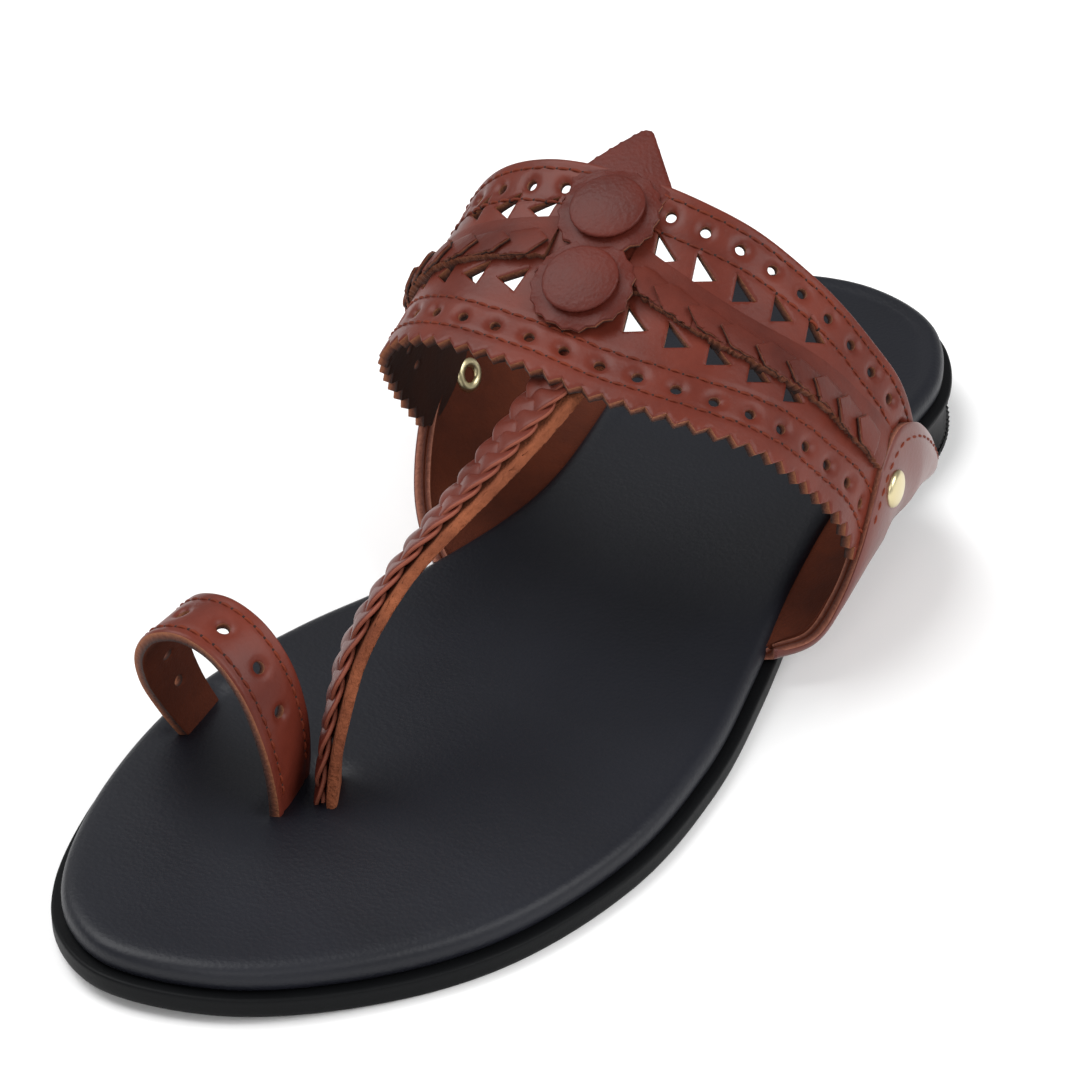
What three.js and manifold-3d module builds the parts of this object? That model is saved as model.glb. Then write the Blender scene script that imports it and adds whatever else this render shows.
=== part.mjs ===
// Open toe-loop sandal (kolhapuri pattern), left shoe.
// Millimetres, +Z up. While building, x runs from medial (-) to lateral (+),
// y runs from the toe tip (0) to the back of the heel, z is height above the floor.
// The finished group is moved so that its origin is the bottom centre of its box.
import * as THREE from 'three';
import Module from 'manifold-3d';

const wasm = await Module();
wasm.setup();
const { Manifold, Mesh: ManifoldMesh } = wasm;

// ---------------------------------------------------------------- driving dimensions
const SOLE = {
  length: 250,
  toeSpring: 2.0,
  springLength: 35,
  foreStack: 9.0,
  heelStack: 17.0,
  rampStart: 108,
  rampEnd: 190,
  archStart: 116,
  archEnd: 188,
  archLift: 3.2,
  heelBevel: 1.2,
  insoleThick: 5.0,
  insoleInset: 1.9,
  heelWaist: 1.3,
};
const UPPER = {
  bandWall: 2.2,
  bandSag: 2.4,
  earWall: 2.8,
  earTuck: 5.0,
  thongWidth: 9.5,
  thongThick: 4.6,
};
// The band's listed edges lie just under its outer face.
const BAND_ABOVE = 0.4;
const BAND_BELOW = UPPER.bandWall - BAND_ABOVE;
const LOOP = { wall: 2.2, above: 0.4 };
const BRAID_STRIP = {
  width: 9.0,
  rise: 1.6,
  bite: 0.6,
  // The strips' centre line dips towards the front between the rosettes and the ears.
  middle: 0.487,
  dipFrom: 0.233,
  dipT: 0.535,
  bend: 3.1,
};
const ROSETTE = { radius: 10.2, thick: 1.6 };
const BUTTON = { radius: 6.9, edge: 1.4, dome: 1.6 };
// Clear distance kept where one piece is seated in or on another.
const SEAT_GAP = 0.15;
const RIVET = { headRadius: 3.9, headHeight: 1.5, ringRadius: 3.6, ringHeight: 0.9, shank: 1.4 };

// Outer edge of the outsole, from the toe tip down the lateral side, round the heel, up the medial side.
const OUTLINE = [
  { x: -14.0, y: 0.0 },
  { x: 5.2, y: 4.6 },
  { x: 22.6, y: 18.0 },
  { x: 39.4, y: 41.0 },
  { x: 47.8, y: 71.0 },
  { x: 47.2, y: 100.0 },
  { x: 42.2, y: 127.0 },
  { x: 37.2, y: 151.0 },
  { x: 33.8, y: 178.0 },
  { x: 33.4, y: 203.0 },
  { x: 30.8, y: 226.0 },
  { x: 19.4, y: 243.6 },
  { x: 0.0, y: 250.0 },
  { x: -19.8, y: 243.4 },
  { x: -31.8, y: 226.0 },
  { x: -30.2, y: 203.0 },
  { x: -24.4, y: 178.0 },
  { x: -22.8, y: 152.0 },
  { x: -30.6, y: 124.0 },
  { x: -41.2, y: 96.0 },
  { x: -46.8, y: 70.0 },
  { x: -43.8, y: 40.0 },
  { x: -35.6, y: 16.8 },
  { x: -26.4, y: 5.4 },
];

// Free rim of each side ear, from its front corner over the top to its back corner.
const EAR_LATERAL = [
  { x: 39.8, y: 134.6, z: 8.6 },
  { x: 44.8, y: 139.2, z: 10.6 },
  { x: 47.0, y: 144.4, z: 16.6 },
  { x: 47.8, y: 149.6, z: 24.2 },
  { x: 47.4, y: 154.6, z: 31.4 },
  { x: 46.4, y: 160.2, z: 37.6 },
  { x: 45.8, y: 166.8, z: 40.6 },
  { x: 45.8, y: 173.6, z: 38.2 },
  { x: 45.4, y: 180.6, z: 31.2 },
  { x: 43.8, y: 187.6, z: 22.2 },
  { x: 39.6, y: 194.8, z: 15.0 },
  { x: 34.6, y: 199.6, z: 12.2 },
];
const EAR_MEDIAL = [
  { x: -27.2, y: 127.4, z: 8.4 },
  { x: -32.4, y: 131.6, z: 10.2 },
  { x: -36.6, y: 136.0, z: 13.8 },
  { x: -39.6, y: 140.8, z: 18.8 },
  { x: -41.6, y: 146.0, z: 25.0 },
  { x: -43.0, y: 152.0, z: 30.6 },
  { x: -43.7, y: 158.8, z: 34.8 },
  { x: -43.6, y: 166.0, z: 36.6 },
  { x: -43.0, y: 173.0, z: 35.2 },
  { x: -42.2, y: 180.0, z: 30.6 },
  { x: -40.4, y: 187.4, z: 23.4 },
  { x: -36.4, y: 194.0, z: 16.0 },
  { x: -30.8, y: 198.6, z: 12.4 },
];
// How each ear's panel leaves the slot and swings up: distances in mm.
const EAR_SHAPE = {
  leaveOut: 15.0,
  shoulderOut: 3.5,
  shoulderDrop: 13.0,
  baseStart: 133.5,
  baseEnd: 199.0,
  medialLead: 4.5,
};

// The two long edges of the instep band, medial end to lateral end.
const BAND_FRONT = [
  { x: -45.5, y: 152.5, z: 15.0 },
  { x: -42.6, y: 145.0, z: 23.5 },
  { x: -42.4, y: 134.5, z: 38.0 },
  { x: -39.5, y: 126.8, z: 49.6 },
  { x: -32.0, y: 121.2, z: 58.8 },
  { x: -22.0, y: 117.6, z: 64.0 },
  { x: -11.7, y: 116.4, z: 65.5 },
  { x: -1.0, y: 116.0, z: 65.7 },
  { x: 10.1, y: 116.2, z: 64.3 },
  { x: 20.0, y: 117.6, z: 63.3 },
  { x: 28.7, y: 120.2, z: 61.4 },
  { x: 35.9, y: 125.0, z: 57.6 },
  { x: 41.0, y: 130.4, z: 52.0 },
  { x: 45.0, y: 137.5, z: 42.7 },
  { x: 47.7, y: 143.4, z: 34.6 },
  { x: 48.2, y: 150.0, z: 21.6 },
  { x: 47.4, y: 155.4, z: 14.0 },
];
const BAND_BACK = [
  { x: -46.2, y: 172.0, z: 22.0 },
  { x: -45.4, y: 167.4, z: 36.4 },
  { x: -43.9, y: 162.4, z: 53.6 },
  { x: -39.3, y: 158.6, z: 67.2 },
  { x: -33.4, y: 156.6, z: 75.6 },
  { x: -27.6, y: 155.6, z: 80.2 },
  { x: -19.4, y: 155.5, z: 83.4 },
  { x: -10.0, y: 156.2, z: 84.3 },
  { x: 0.0, y: 156.8, z: 84.0 },
  { x: 10.8, y: 157.6, z: 82.1 },
  { x: 20.2, y: 160.0, z: 77.9 },
  { x: 29.3, y: 163.5, z: 70.2 },
  { x: 34.8, y: 166.2, z: 63.8 },
  { x: 40.1, y: 169.2, z: 55.8 },
  { x: 44.3, y: 172.4, z: 47.4 },
  { x: 46.2, y: 175.0, z: 37.6 },
  { x: 46.6, y: 177.4, z: 24.0 },
];

// Centre line of the thong strap with the way its face looks at each point.
const THONG = [
  { x: -7.2, y: 57.4, z: 6.6, nx: -0.86, ny: -0.46, nz: 0.1 },
  { x: -7.0, y: 58.0, z: 14.0, nx: -0.86, ny: -0.46, nz: 0.15 },
  { x: -6.8, y: 60.6, z: 23.0, nx: -0.84, ny: -0.44, nz: 0.25 },
  { x: -6.8, y: 66.0, z: 32.6, nx: -0.78, ny: -0.4, nz: 0.4 },
  { x: -5.6, y: 74.4, z: 40.2, nx: -0.75, ny: -0.28, nz: 0.52 },
  { x: -3.4, y: 85.0, z: 46.6, nx: -0.74, ny: -0.2, nz: 0.58 },
  { x: -0.9, y: 96.6, z: 52.2, nx: -0.66, ny: -0.2, nz: 0.66 },
  { x: 1.2, y: 108.4, z: 57.6, nx: -0.5, ny: -0.28, nz: 0.78 },
  { x: 2.6, y: 119.0, z: 62.4, nx: -0.3, ny: -0.4, nz: 0.86 },
  { x: 3.0, y: 128.0, z: 66.2, nx: -0.15, ny: -0.42, nz: 0.9 },
];

// The two edges of the toe loop, medial foot to lateral foot.
const LOOP_FRONT = [
  { x: -37.6, y: 59.0, z: 5.4 },
  { x: -39.3, y: 54.0, z: 15.0 },
  { x: -39.7, y: 49.4, z: 24.6 },
  { x: -37.4, y: 45.8, z: 33.9 },
  { x: -32.6, y: 44.2, z: 40.4 },
  { x: -26.8, y: 44.2, z: 42.4 },
  { x: -20.7, y: 44.7, z: 40.2 },
  { x: -15.0, y: 45.1, z: 33.8 },
  { x: -11.0, y: 45.5, z: 23.8 },
  { x: -9.6, y: 46.3, z: 14.0 },
  { x: -9.8, y: 47.2, z: 5.4 },
];
const LOOP_BACK = [
  { x: -39.6, y: 70.4, z: 5.6 },
  { x: -41.3, y: 67.0, z: 15.0 },
  { x: -41.2, y: 63.7, z: 25.0 },
  { x: -37.3, y: 60.2, z: 34.8 },
  { x: -31.0, y: 57.8, z: 41.2 },
  { x: -24.2, y: 56.8, z: 43.0 },
  { x: -17.8, y: 56.5, z: 40.7 },
  { x: -13.0, y: 57.0, z: 34.1 },
  { x: -11.0, y: 58.2, z: 24.0 },
  { x: -11.6, y: 59.6, z: 14.0 },
  { x: -13.2, y: 60.6, z: 5.4 },
];

// Places on the band given in its own run: s from medial (0) to lateral (1), t from front (0) to back (1).
const PLACES = {
  rosetteFront: { x: -0.4, y: 132.0, z: 73.4, tiltY: 0.52, tiltX: 0.04 },
  rosetteBack: { x: -1.6, y: 146.4, z: 79.6, tiltY: 0.46, tiltX: 0.02 },
  stripMedial: { s0: 0.16, s1: 0.43 },
  stripLateral: { s0: 0.55, s1: 0.88 },
  // On an ear: u along its rim from front to back, v from the slot (0) to the rim (1).
  rivetLateral: { u: 0.455, v: 0.8 },
  rivetMedial: { u: 0.49, v: 0.74 },
};
// Flat facets round each turned piece.
const FACETS = { rosette: 36, button: 28, rivet: 18 };
// The leaf tab, in its own plane: a runs back along its length, b across it.
const LEAF = {
  thick: 1.8,
  outline: [
    { a: -9.0, b: -5.0 },
    { a: 8.6, b: -9.6 },
    { a: 19.4, b: -0.8 },
    { a: 19.4, b: 0.8 },
    { a: 8.6, b: 9.6 },
    { a: -9.0, b: 5.0 },
  ],
  base: { x: -4.2, y: 147.4, z: 81.4 },
  heading: { x: -0.1, y: 0.92, z: 0.38 },
  across: { x: 0.99, y: 0.12, z: 0.02 },
};

// ---------------------------------------------------------------- small curve helpers
const clamp01 = (v) => Math.min(1, Math.max(0, v));
const smooth = (a, b, v) => {
  const t = clamp01((v - a) / (b - a));
  return t * t * (3 - 2 * t);
};
const toVec = (p) => new THREE.Vector3(p.x, p.y, p.z ?? 0);

// A spline through the listed points, asked by share of its length.
function curveThrough(points) {
  const curve = new THREE.CatmullRomCurve3(points.map(toVec), false, 'centripetal');
  curve.arcLengthDivisions = 400;
  return (share) => curve.getPointAt(clamp01(share));
}

// ---------------------------------------------------------------- heights of the sole
const springAt = (y) => SOLE.toeSpring * clamp01((SOLE.springLength - y) / SOLE.springLength) ** 2;
const archAt = (y) => {
  const t = clamp01((y - SOLE.archStart) / (SOLE.archEnd - SOLE.archStart));
  return SOLE.archLift * Math.sin(Math.PI * t) ** 2;
};
const bevelAt = (y) => SOLE.heelBevel * clamp01((y - 240) / 10) ** 2;
const underside = (y) => springAt(y) + archAt(y) + bevelAt(y);
const footbed = (y) => {
  const rise = SOLE.heelStack - SOLE.foreStack;
  return springAt(y) + SOLE.foreStack + rise * smooth(SOLE.rampStart, SOLE.rampEnd, y);
};
const outsoleTop = (y) => footbed(y) - SOLE.insoleThick;

// ---------------------------------------------------------------- the sole's outline
const outlineCurve = new THREE.CatmullRomCurve3(OUTLINE.map(toVec), true, 'centripetal');
const OUTLINE_DENSE = outlineCurve.getSpacedPoints(480).slice(0, 480);

function offsetOutline(inset) {
  const count = OUTLINE_DENSE.length;
  return OUTLINE_DENSE.map((p, i) => {
    const before = OUTLINE_DENSE[(i + count - 2) % count];
    const after = OUTLINE_DENSE[(i + 2) % count];
    const run = new THREE.Vector2(after.x - before.x, after.y - before.y).normalize();
    return { x: p.x - inset * run.y, y: p.y + inset * run.x };
  });
}

// Splits an outline into its lateral and medial sides and asks each for x at a given y.
function sidesOf(outline) {
  let toe = 0;
  let heel = 0;
  outline.forEach((p, i) => {
    if (p.y < outline[toe].y) toe = i;
    if (p.y > outline[heel].y) heel = i;
  });
  const walk = (step) => {
    const side = [];
    for (let i = toe; ; i = (i + step + outline.length) % outline.length) {
      side.push(outline[i]);
      if (i === heel) break;
    }
    return side;
  };
  const ask = (side) => (y) => {
    let i = 1;
    while (i < side.length - 1 && side[i].y < y) i += 1;
    const a = side[i - 1];
    const b = side[i];
    const t = clamp01((y - a.y) / Math.max(1e-6, b.y - a.y));
    return a.x + (b.x - a.x) * t;
  };
  return {
    yToe: outline[toe].y,
    yHeel: outline[heel].y,
    lateral: ask(walk(1)),
    medial: ask(walk(-1)),
  };
}

const SIDE_STEPS = 34;
// One closed ring: lateral side from toe to heel, then the medial side back to the toe.
function ringAt(inset, heightAt) {
  const sides = sidesOf(offsetOutline(inset));
  const stations = [];
  for (let i = 0; i <= SIDE_STEPS; i += 1) {
    const share = (1 - Math.cos((Math.PI * i) / SIDE_STEPS)) / 2;
    stations.push(sides.yToe + (sides.yHeel - sides.yToe) * share);
  }
  const ring = stations.map((y) => [sides.lateral(y), y, heightAt(y)]);
  for (let i = SIDE_STEPS - 1; i >= 1; i -= 1) {
    ring.push([sides.medial(stations[i]), stations[i], heightAt(stations[i])]);
  }
  return ring;
}

// Skins a stack of rings and closes it below and above with strips that run across the shoe.
function solidFromRings(rings) {
  const size = rings[0].length;
  const points = rings.flat(1);
  const faces = [];
  for (let r = 0; r < rings.length - 1; r += 1) {
    for (let i = 0; i < size; i += 1) {
      const j = (i + 1) % size;
      const a = r * size + i;
      const b = r * size + j;
      faces.push([a, b, b + size], [a, b + size, a + size]);
    }
  }
  const cap = (base, flip) => {
    for (let i = 0; i < SIDE_STEPS; i += 1) {
      const a = base + i;
      const b = base + i + 1;
      const c = base + ((size - i - 1) % size);
      const d = base + ((size - i) % size);
      const quad = i === 0 ? [[a, b, c]] : i === SIDE_STEPS - 1 ? [[a, b, d]] : [[a, b, c], [a, c, d]];
      quad.forEach((f) => faces.push(flip ? [f[0], f[2], f[1]] : f));
    }
  };
  cap(0, true);
  cap((rings.length - 1) * size, false);
  return makeSolid(points, faces);
}

// ---------------------------------------------------------------- solids
function makeSolid(points, faces) {
  const vertProperties = new Float32Array(points.flat());
  const closeUp = () => {
    const triVerts = new Uint32Array(faces.flat());
    return new Manifold(new ManifoldMesh({ numProp: 3, vertProperties, triVerts }));
  };
  const solid = closeUp();
  if (solid.volume() > 0) return solid;
  faces.forEach((f) => f.reverse());
  return closeUp();
}

// A closed sheet: the surface at(u, v) is thickened by `below` and `above` along its own normal,
// and its four edges are pushed outward by `edge`.
function sheet(at, countU, countV, below, above, edge = 0) {
  const step = 1e-3;
  const pushAt = (i, count) => (i === 0 ? -edge : i === count ? edge : 0);
  const points = [];
  [above, -below].forEach((lift) => {
    for (let i = 0; i <= countU; i += 1) {
      for (let j = 0; j <= countV; j += 1) {
        const u = i / countU;
        const v = j / countV;
        const du = at(Math.min(1, u + step), v).sub(at(Math.max(0, u - step), v)).normalize();
        const dv = at(u, Math.min(1, v + step)).sub(at(u, Math.max(0, v - step))).normalize();
        const normal = new THREE.Vector3().crossVectors(du, dv).normalize();
        const point = at(u, v).addScaledVector(normal, lift);
        point.addScaledVector(du, pushAt(i, countU)).addScaledVector(dv, pushAt(j, countV));
        points.push(point.toArray());
      }
    }
  });
  const half = (countU + 1) * (countV + 1);
  const id = (i, j, side) => side * half + i * (countV + 1) + j;
  const faces = [];
  const quad = (a, b, c, d) => faces.push([a, b, c], [a, c, d]);
  for (let i = 0; i < countU; i += 1) {
    for (let j = 0; j < countV; j += 1) {
      quad(id(i, j, 0), id(i + 1, j, 0), id(i + 1, j + 1, 0), id(i, j + 1, 0));
      quad(id(i, j, 1), id(i, j + 1, 1), id(i + 1, j + 1, 1), id(i + 1, j, 1));
    }
    quad(id(i, 0, 0), id(i, 0, 1), id(i + 1, 0, 1), id(i + 1, 0, 0));
    quad(id(i, countV, 0), id(i + 1, countV, 0), id(i + 1, countV, 1), id(i, countV, 1));
  }
  for (let j = 0; j < countV; j += 1) {
    quad(id(0, j, 0), id(0, j + 1, 0), id(0, j + 1, 1), id(0, j, 1));
    quad(id(countU, j, 0), id(countU, j, 1), id(countU, j + 1, 1), id(countU, j + 1, 0));
  }
  return makeSolid(points, faces);
}

// A turned solid: profile of [radius, height] pairs round an axis through `centre` along `axis`.
function turned(profile, centre, axis, segments) {
  const up = new THREE.Vector3(0, 0, 1);
  const frame = new THREE.Quaternion().setFromUnitVectors(up, axis.clone().normalize());
  const place = (x, y, z) => new THREE.Vector3(x, y, z).applyQuaternion(frame).add(centre).toArray();
  const points = [];
  profile.forEach(([radius, height]) => {
    for (let i = 0; i < segments; i += 1) {
      const angle = (2 * Math.PI * i) / segments;
      points.push(place(radius * Math.cos(angle), radius * Math.sin(angle), height));
    }
  });
  const faces = [];
  for (let r = 0; r < profile.length - 1; r += 1) {
    for (let i = 0; i < segments; i += 1) {
      const j = (i + 1) % segments;
      const a = r * segments + i;
      const b = r * segments + j;
      faces.push([a, b, b + segments], [a, b + segments, a + segments]);
    }
  }
  const low = points.push(place(0, 0, profile[0][1])) - 1;
  const high = points.push(place(0, 0, profile[profile.length - 1][1])) - 1;
  const last = (profile.length - 1) * segments;
  for (let i = 0; i < segments; i += 1) {
    const j = (i + 1) % segments;
    faces.push([low, j, i], [high, last + i, last + j]);
  }
  return makeSolid(points, faces);
}

// ---------------------------------------------------------------- outsole and insole
function buildOutsole() {
  const between = (share) => (y) => underside(y) + share * (outsoleTop(y) - underside(y));
  const waist = SOLE.heelWaist;
  const heelShare = (y) => smooth(150, 195, y);
  const waisted = (inset, share) => {
    const straight = ringAt(inset, between(share));
    const tucked = ringAt(inset + waist, between(share));
    return straight.map((p, i) => {
      const k = heelShare(p[1]);
      return [p[0] + k * (tucked[i][0] - p[0]), p[1] + k * (tucked[i][1] - p[1]), p[2]];
    });
  };
  return solidFromRings([
    ringAt(0.9, between(0)),
    ringAt(0.1, between(0.14)),
    waisted(0.0, 0.45),
    waisted(0.0, 0.7),
    ringAt(0.0, between(0.92)),
    ringAt(0.4, between(1)),
  ]);
}

function buildInsole() {
  const inset = SOLE.insoleInset;
  const above = (rise) => (y) => outsoleTop(y) + rise + SEAT_GAP;
  const dish = (amount) => (y) => footbed(y) - amount * smooth(150, 215, y);
  return solidFromRings([
    ringAt(inset + 0.9, above(0)),
    ringAt(inset + 0.1, above(0.8)),
    ringAt(inset, above(2.4)),
    ringAt(inset + 0.5, above(4.0)),
    ringAt(inset + 1.6, above(4.8)),
    ringAt(inset + 3.2, above(SOLE.insoleThick - SEAT_GAP)),
    ringAt(inset + 12, dish(0.7)),
  ]);
}

// ---------------------------------------------------------------- upper: band, ears and thong in one
const bandFront = curveThrough(BAND_FRONT);
const bandBack = curveThrough(BAND_BACK);
function bandAt(s, t) {
  const point = bandFront(s).lerp(bandBack(s), t);
  const crown = Math.sin(Math.PI * clamp01((s - 0.2) / 0.6)) ** 2;
  point.z -= UPPER.bandSag * crown * Math.sin(Math.PI * t);
  return point;
}

function earSurface(rimPoints, side) {
  const rim = curveThrough(rimPoints);
  const edge = sidesOf(offsetOutline(0));
  const edgeX = side > 0 ? edge.lateral : edge.medial;
  return (u, v) => {
    const start = EAR_SHAPE.baseStart - (side < 0 ? EAR_SHAPE.medialLead : 0);
    const y = start + (EAR_SHAPE.baseEnd - start) * u;
    const slope = (edgeX(y + 2) - edgeX(y - 2)) / 4;
    const out = new THREE.Vector3(side, -side * slope, 0).normalize();
    const slotZ = outsoleTop(y) + UPPER.earWall / 2;
    const root = new THREE.Vector3(edgeX(y), y, slotZ).addScaledVector(out, -UPPER.earTuck);
    const top = rim(u);
    const reach = Math.min(1, root.distanceTo(top) / 30);
    const leave = root.clone().addScaledVector(out, EAR_SHAPE.leaveOut * reach + 2);
    const fullness = EAR_SHAPE.shoulderOut * reach * smooth(0.05, 0.45, u);
    const shoulder = top.clone().addScaledVector(out, fullness);
    shoulder.z = top.z - (EAR_SHAPE.shoulderDrop * reach * (top.z - slotZ)) / 27;
    const w = 1 - v;
    return root.multiplyScalar(w * w * w)
      .addScaledVector(leave, 3 * w * w * v)
      .addScaledVector(shoulder, 3 * w * v * v)
      .addScaledVector(top, v * v * v);
  };
}
const earLateral = earSurface(EAR_LATERAL, 1);
const earMedial = earSurface(EAR_MEDIAL, -1);

function thongSurface() {
  const line = curveThrough(THONG);
  const facing = curveThrough(THONG.map((p) => ({ x: p.nx * 40, y: p.ny * 40, z: p.nz * 40 })));
  const half = UPPER.thongWidth / 2;
  return (u, v) => {
    const at = line(u);
    const ahead = line(Math.min(1, u + 0.01)).sub(line(Math.max(0, u - 0.01))).normalize();
    const normal = facing(u).normalize();
    normal.addScaledVector(ahead, -normal.dot(ahead)).normalize();
    const across = new THREE.Vector3().crossVectors(ahead, normal).normalize();
    return at.addScaledVector(across, half * (2 * v - 1));
  };
}

// `grow` thickens every wall a little: the grown copy cuts the seats of the neighbouring pieces.
function buildUpper(grow = 0) {
  const earHalf = UPPER.earWall / 2 + grow;
  const thongHalf = UPPER.thongThick / 2 + grow;
  const band = sheet(bandAt, 52, 5, BAND_BELOW + grow, BAND_ABOVE + grow, grow);
  const outer = sheet(earLateral, 24, 8, earHalf, earHalf, grow);
  const inner = sheet(earMedial, 24, 8, earHalf, earHalf, grow);
  const thong = sheet(thongSurface(), 30, 2, thongHalf, thongHalf, grow);
  return Manifold.union([band, outer, inner, thong]);
}

// ---------------------------------------------------------------- toe loop
const loopFront = curveThrough(LOOP_FRONT);
const loopBack = curveThrough(LOOP_BACK);
const loopAt = (u, v) => loopFront(u).lerp(loopBack(u), v);
const loopBelow = LOOP.wall - LOOP.above;
const buildLoop = (grow = 0) => sheet(loopAt, 32, 3, loopBelow + grow, LOOP.above + grow, grow);

// ---------------------------------------------------------------- what is laid on the band
const bandNormal = (s, t) => {
  const ds = bandAt(s + 0.002, t).sub(bandAt(s - 0.002, t));
  const dt = bandAt(s, t + 0.01).sub(bandAt(s, t - 0.01));
  const n = ds.cross(dt).normalize();
  return n.z < 0 ? n.negate() : n;
};

const stripCentre = (s) => {
  const from = Math.abs(s - BRAID_STRIP.middle) - BRAID_STRIP.dipFrom;
  return BRAID_STRIP.dipT + BRAID_STRIP.bend * from * from;
};
function buildStrip(place) {
  const surface = (u, v) => {
    const s = place.s0 + (place.s1 - place.s0) * u;
    const across = bandFront(s).distanceTo(bandBack(s));
    return bandAt(s, stripCentre(s) + (BRAID_STRIP.width / across) * (v - 0.5));
  };
  const alongStrip = surface(0.51, 0.5).sub(surface(0.49, 0.5));
  const acrossStrip = surface(0.5, 0.51).sub(surface(0.5, 0.49));
  const up = alongStrip.cross(acrossStrip).z > 0;
  const low = BAND_ABOVE - BRAID_STRIP.bite;
  const high = BAND_ABOVE + BRAID_STRIP.rise;
  return up ? sheet(surface, 20, 2, -low, high) : sheet(surface, 20, 2, high, -low);
}

const axisOf = (place) => new THREE.Vector3(place.tiltX, -place.tiltY, 1).normalize();
function buildRosette(place, grow = 0) {
  const half = ROSETTE.thick / 2 + grow;
  const r = ROSETTE.radius + grow;
  return turned([[r - 0.4, -half], [r, 0], [r - 0.4, half]], toVec(place), axisOf(place), FACETS.rosette);
}
function buildButton(place, grow = 0) {
  const base = ROSETTE.thick / 2 + SEAT_GAP - grow;
  const radius = BUTTON.radius + grow;
  const top = base + BUTTON.edge + 2 * grow;
  const profile = [[radius - 0.3, base], [radius, top]];
  [0.9, 0.7, 0.4].forEach((share) => {
    profile.push([radius * share, top + BUTTON.dome * (1 - share * share)]);
  });
  return turned(profile, toVec(place), axisOf(place), FACETS.button);
}

function buildLeaf(grow = 0) {
  const base = toVec(LEAF.base);
  const along = toVec(LEAF.heading).normalize();
  const across = toVec(LEAF.across).normalize();
  const up = new THREE.Vector3().crossVectors(across, along).normalize();
  const points = [];
  [-LEAF.thick / 2 - grow, LEAF.thick / 2 + grow].forEach((lift) => {
    LEAF.outline.forEach((p) => {
      const at = base.clone().addScaledVector(along, p.a).addScaledVector(across, p.b);
      points.push(at.addScaledVector(up, lift).toArray());
    });
  });
  const n = LEAF.outline.length;
  const faces = [];
  for (let i = 0; i < n; i += 1) {
    const j = (i + 1) % n;
    faces.push([i, j, j + n], [i, j + n, i + n]);
  }
  for (let i = 1; i < n - 1; i += 1) {
    faces.push([0, i + 1, i], [n, n + i, n + i + 1]);
  }
  return makeSolid(points, faces);
}

// ---------------------------------------------------------------- rivets through the ears
function buildRivet(ear, place, side, grow = 0) {
  const { u, v } = place;
  const at = ear(u, v);
  const du = ear(u + 0.01, v).sub(ear(u - 0.01, v));
  const dv = ear(u, v + 0.01).sub(ear(u, v - 0.01));
  const out = du.cross(dv).normalize();
  if (out.x * side < 0) out.negate();
  const half = UPPER.earWall / 2;
  const r = RIVET.headRadius + grow;
  const ring = RIVET.ringRadius + grow;
  const shank = RIVET.shank + grow;
  const h = RIVET.headHeight;
  const profile = [
    [shank, -half - RIVET.ringHeight - grow],
    [ring, -half - RIVET.ringHeight - grow],
    [ring, -half + 0.3 + grow],
    [shank, -half + 0.3 + grow],
    [shank, half - 0.3 - grow],
    [r, half - 0.3 - grow],
    [r * 0.96, half + 0.35 * h + grow],
    [r * 0.74, half + 0.78 * h + grow],
    [r * 0.4, half + 0.96 * h + grow],
  ];
  return turned(profile, at, out, FACETS.rivet);
}

// ---------------------------------------------------------------- assembly
const loop = buildLoop();
const loopSeat = Manifold.union([loop, buildLoop(SEAT_GAP)]);
const rivetLateral = buildRivet(earLateral, PLACES.rivetLateral, 1);
const rivetMedial = buildRivet(earMedial, PLACES.rivetMedial, -1);
const upper = buildUpper()
  .subtract(buildRivet(earLateral, PLACES.rivetLateral, 1, SEAT_GAP))
  .subtract(buildRivet(earMedial, PLACES.rivetMedial, -1, SEAT_GAP));
const upperSeat = Manifold.union([upper, buildUpper(SEAT_GAP)]);

// The front rosette lies over the back one, and both lie over the leaf.
const rosetteFront = buildRosette(PLACES.rosetteFront).subtract(upperSeat);
const buttonFront = buildButton(PLACES.rosetteFront);
const frontSeat = Manifold.union([
  buildRosette(PLACES.rosetteFront, SEAT_GAP),
  buildButton(PLACES.rosetteFront, SEAT_GAP),
]);
const rosetteBack = buildRosette(PLACES.rosetteBack).subtract(upperSeat).subtract(frontSeat);
const buttonBack = buildButton(PLACES.rosetteBack).subtract(frontSeat);
const backSeat = Manifold.union([
  buildRosette(PLACES.rosetteBack, SEAT_GAP),
  buildButton(PLACES.rosetteBack, SEAT_GAP),
]);
const leaf = buildLeaf().subtract(upperSeat).subtract(frontSeat).subtract(backSeat);
const stripSeats = [upperSeat, frontSeat, backSeat, buildLeaf(SEAT_GAP)];
const seated = (solid, seats) => seats.reduce((rest, seat) => rest.subtract(seat), solid);
const stripMedial = seated(buildStrip(PLACES.stripMedial), stripSeats);
const stripLateral = seated(buildStrip(PLACES.stripLateral), stripSeats);
const insole = seated(buildInsole(), [upperSeat, loopSeat]);
const outsole = seated(buildOutsole(), [upperSeat, loopSeat]);

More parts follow.
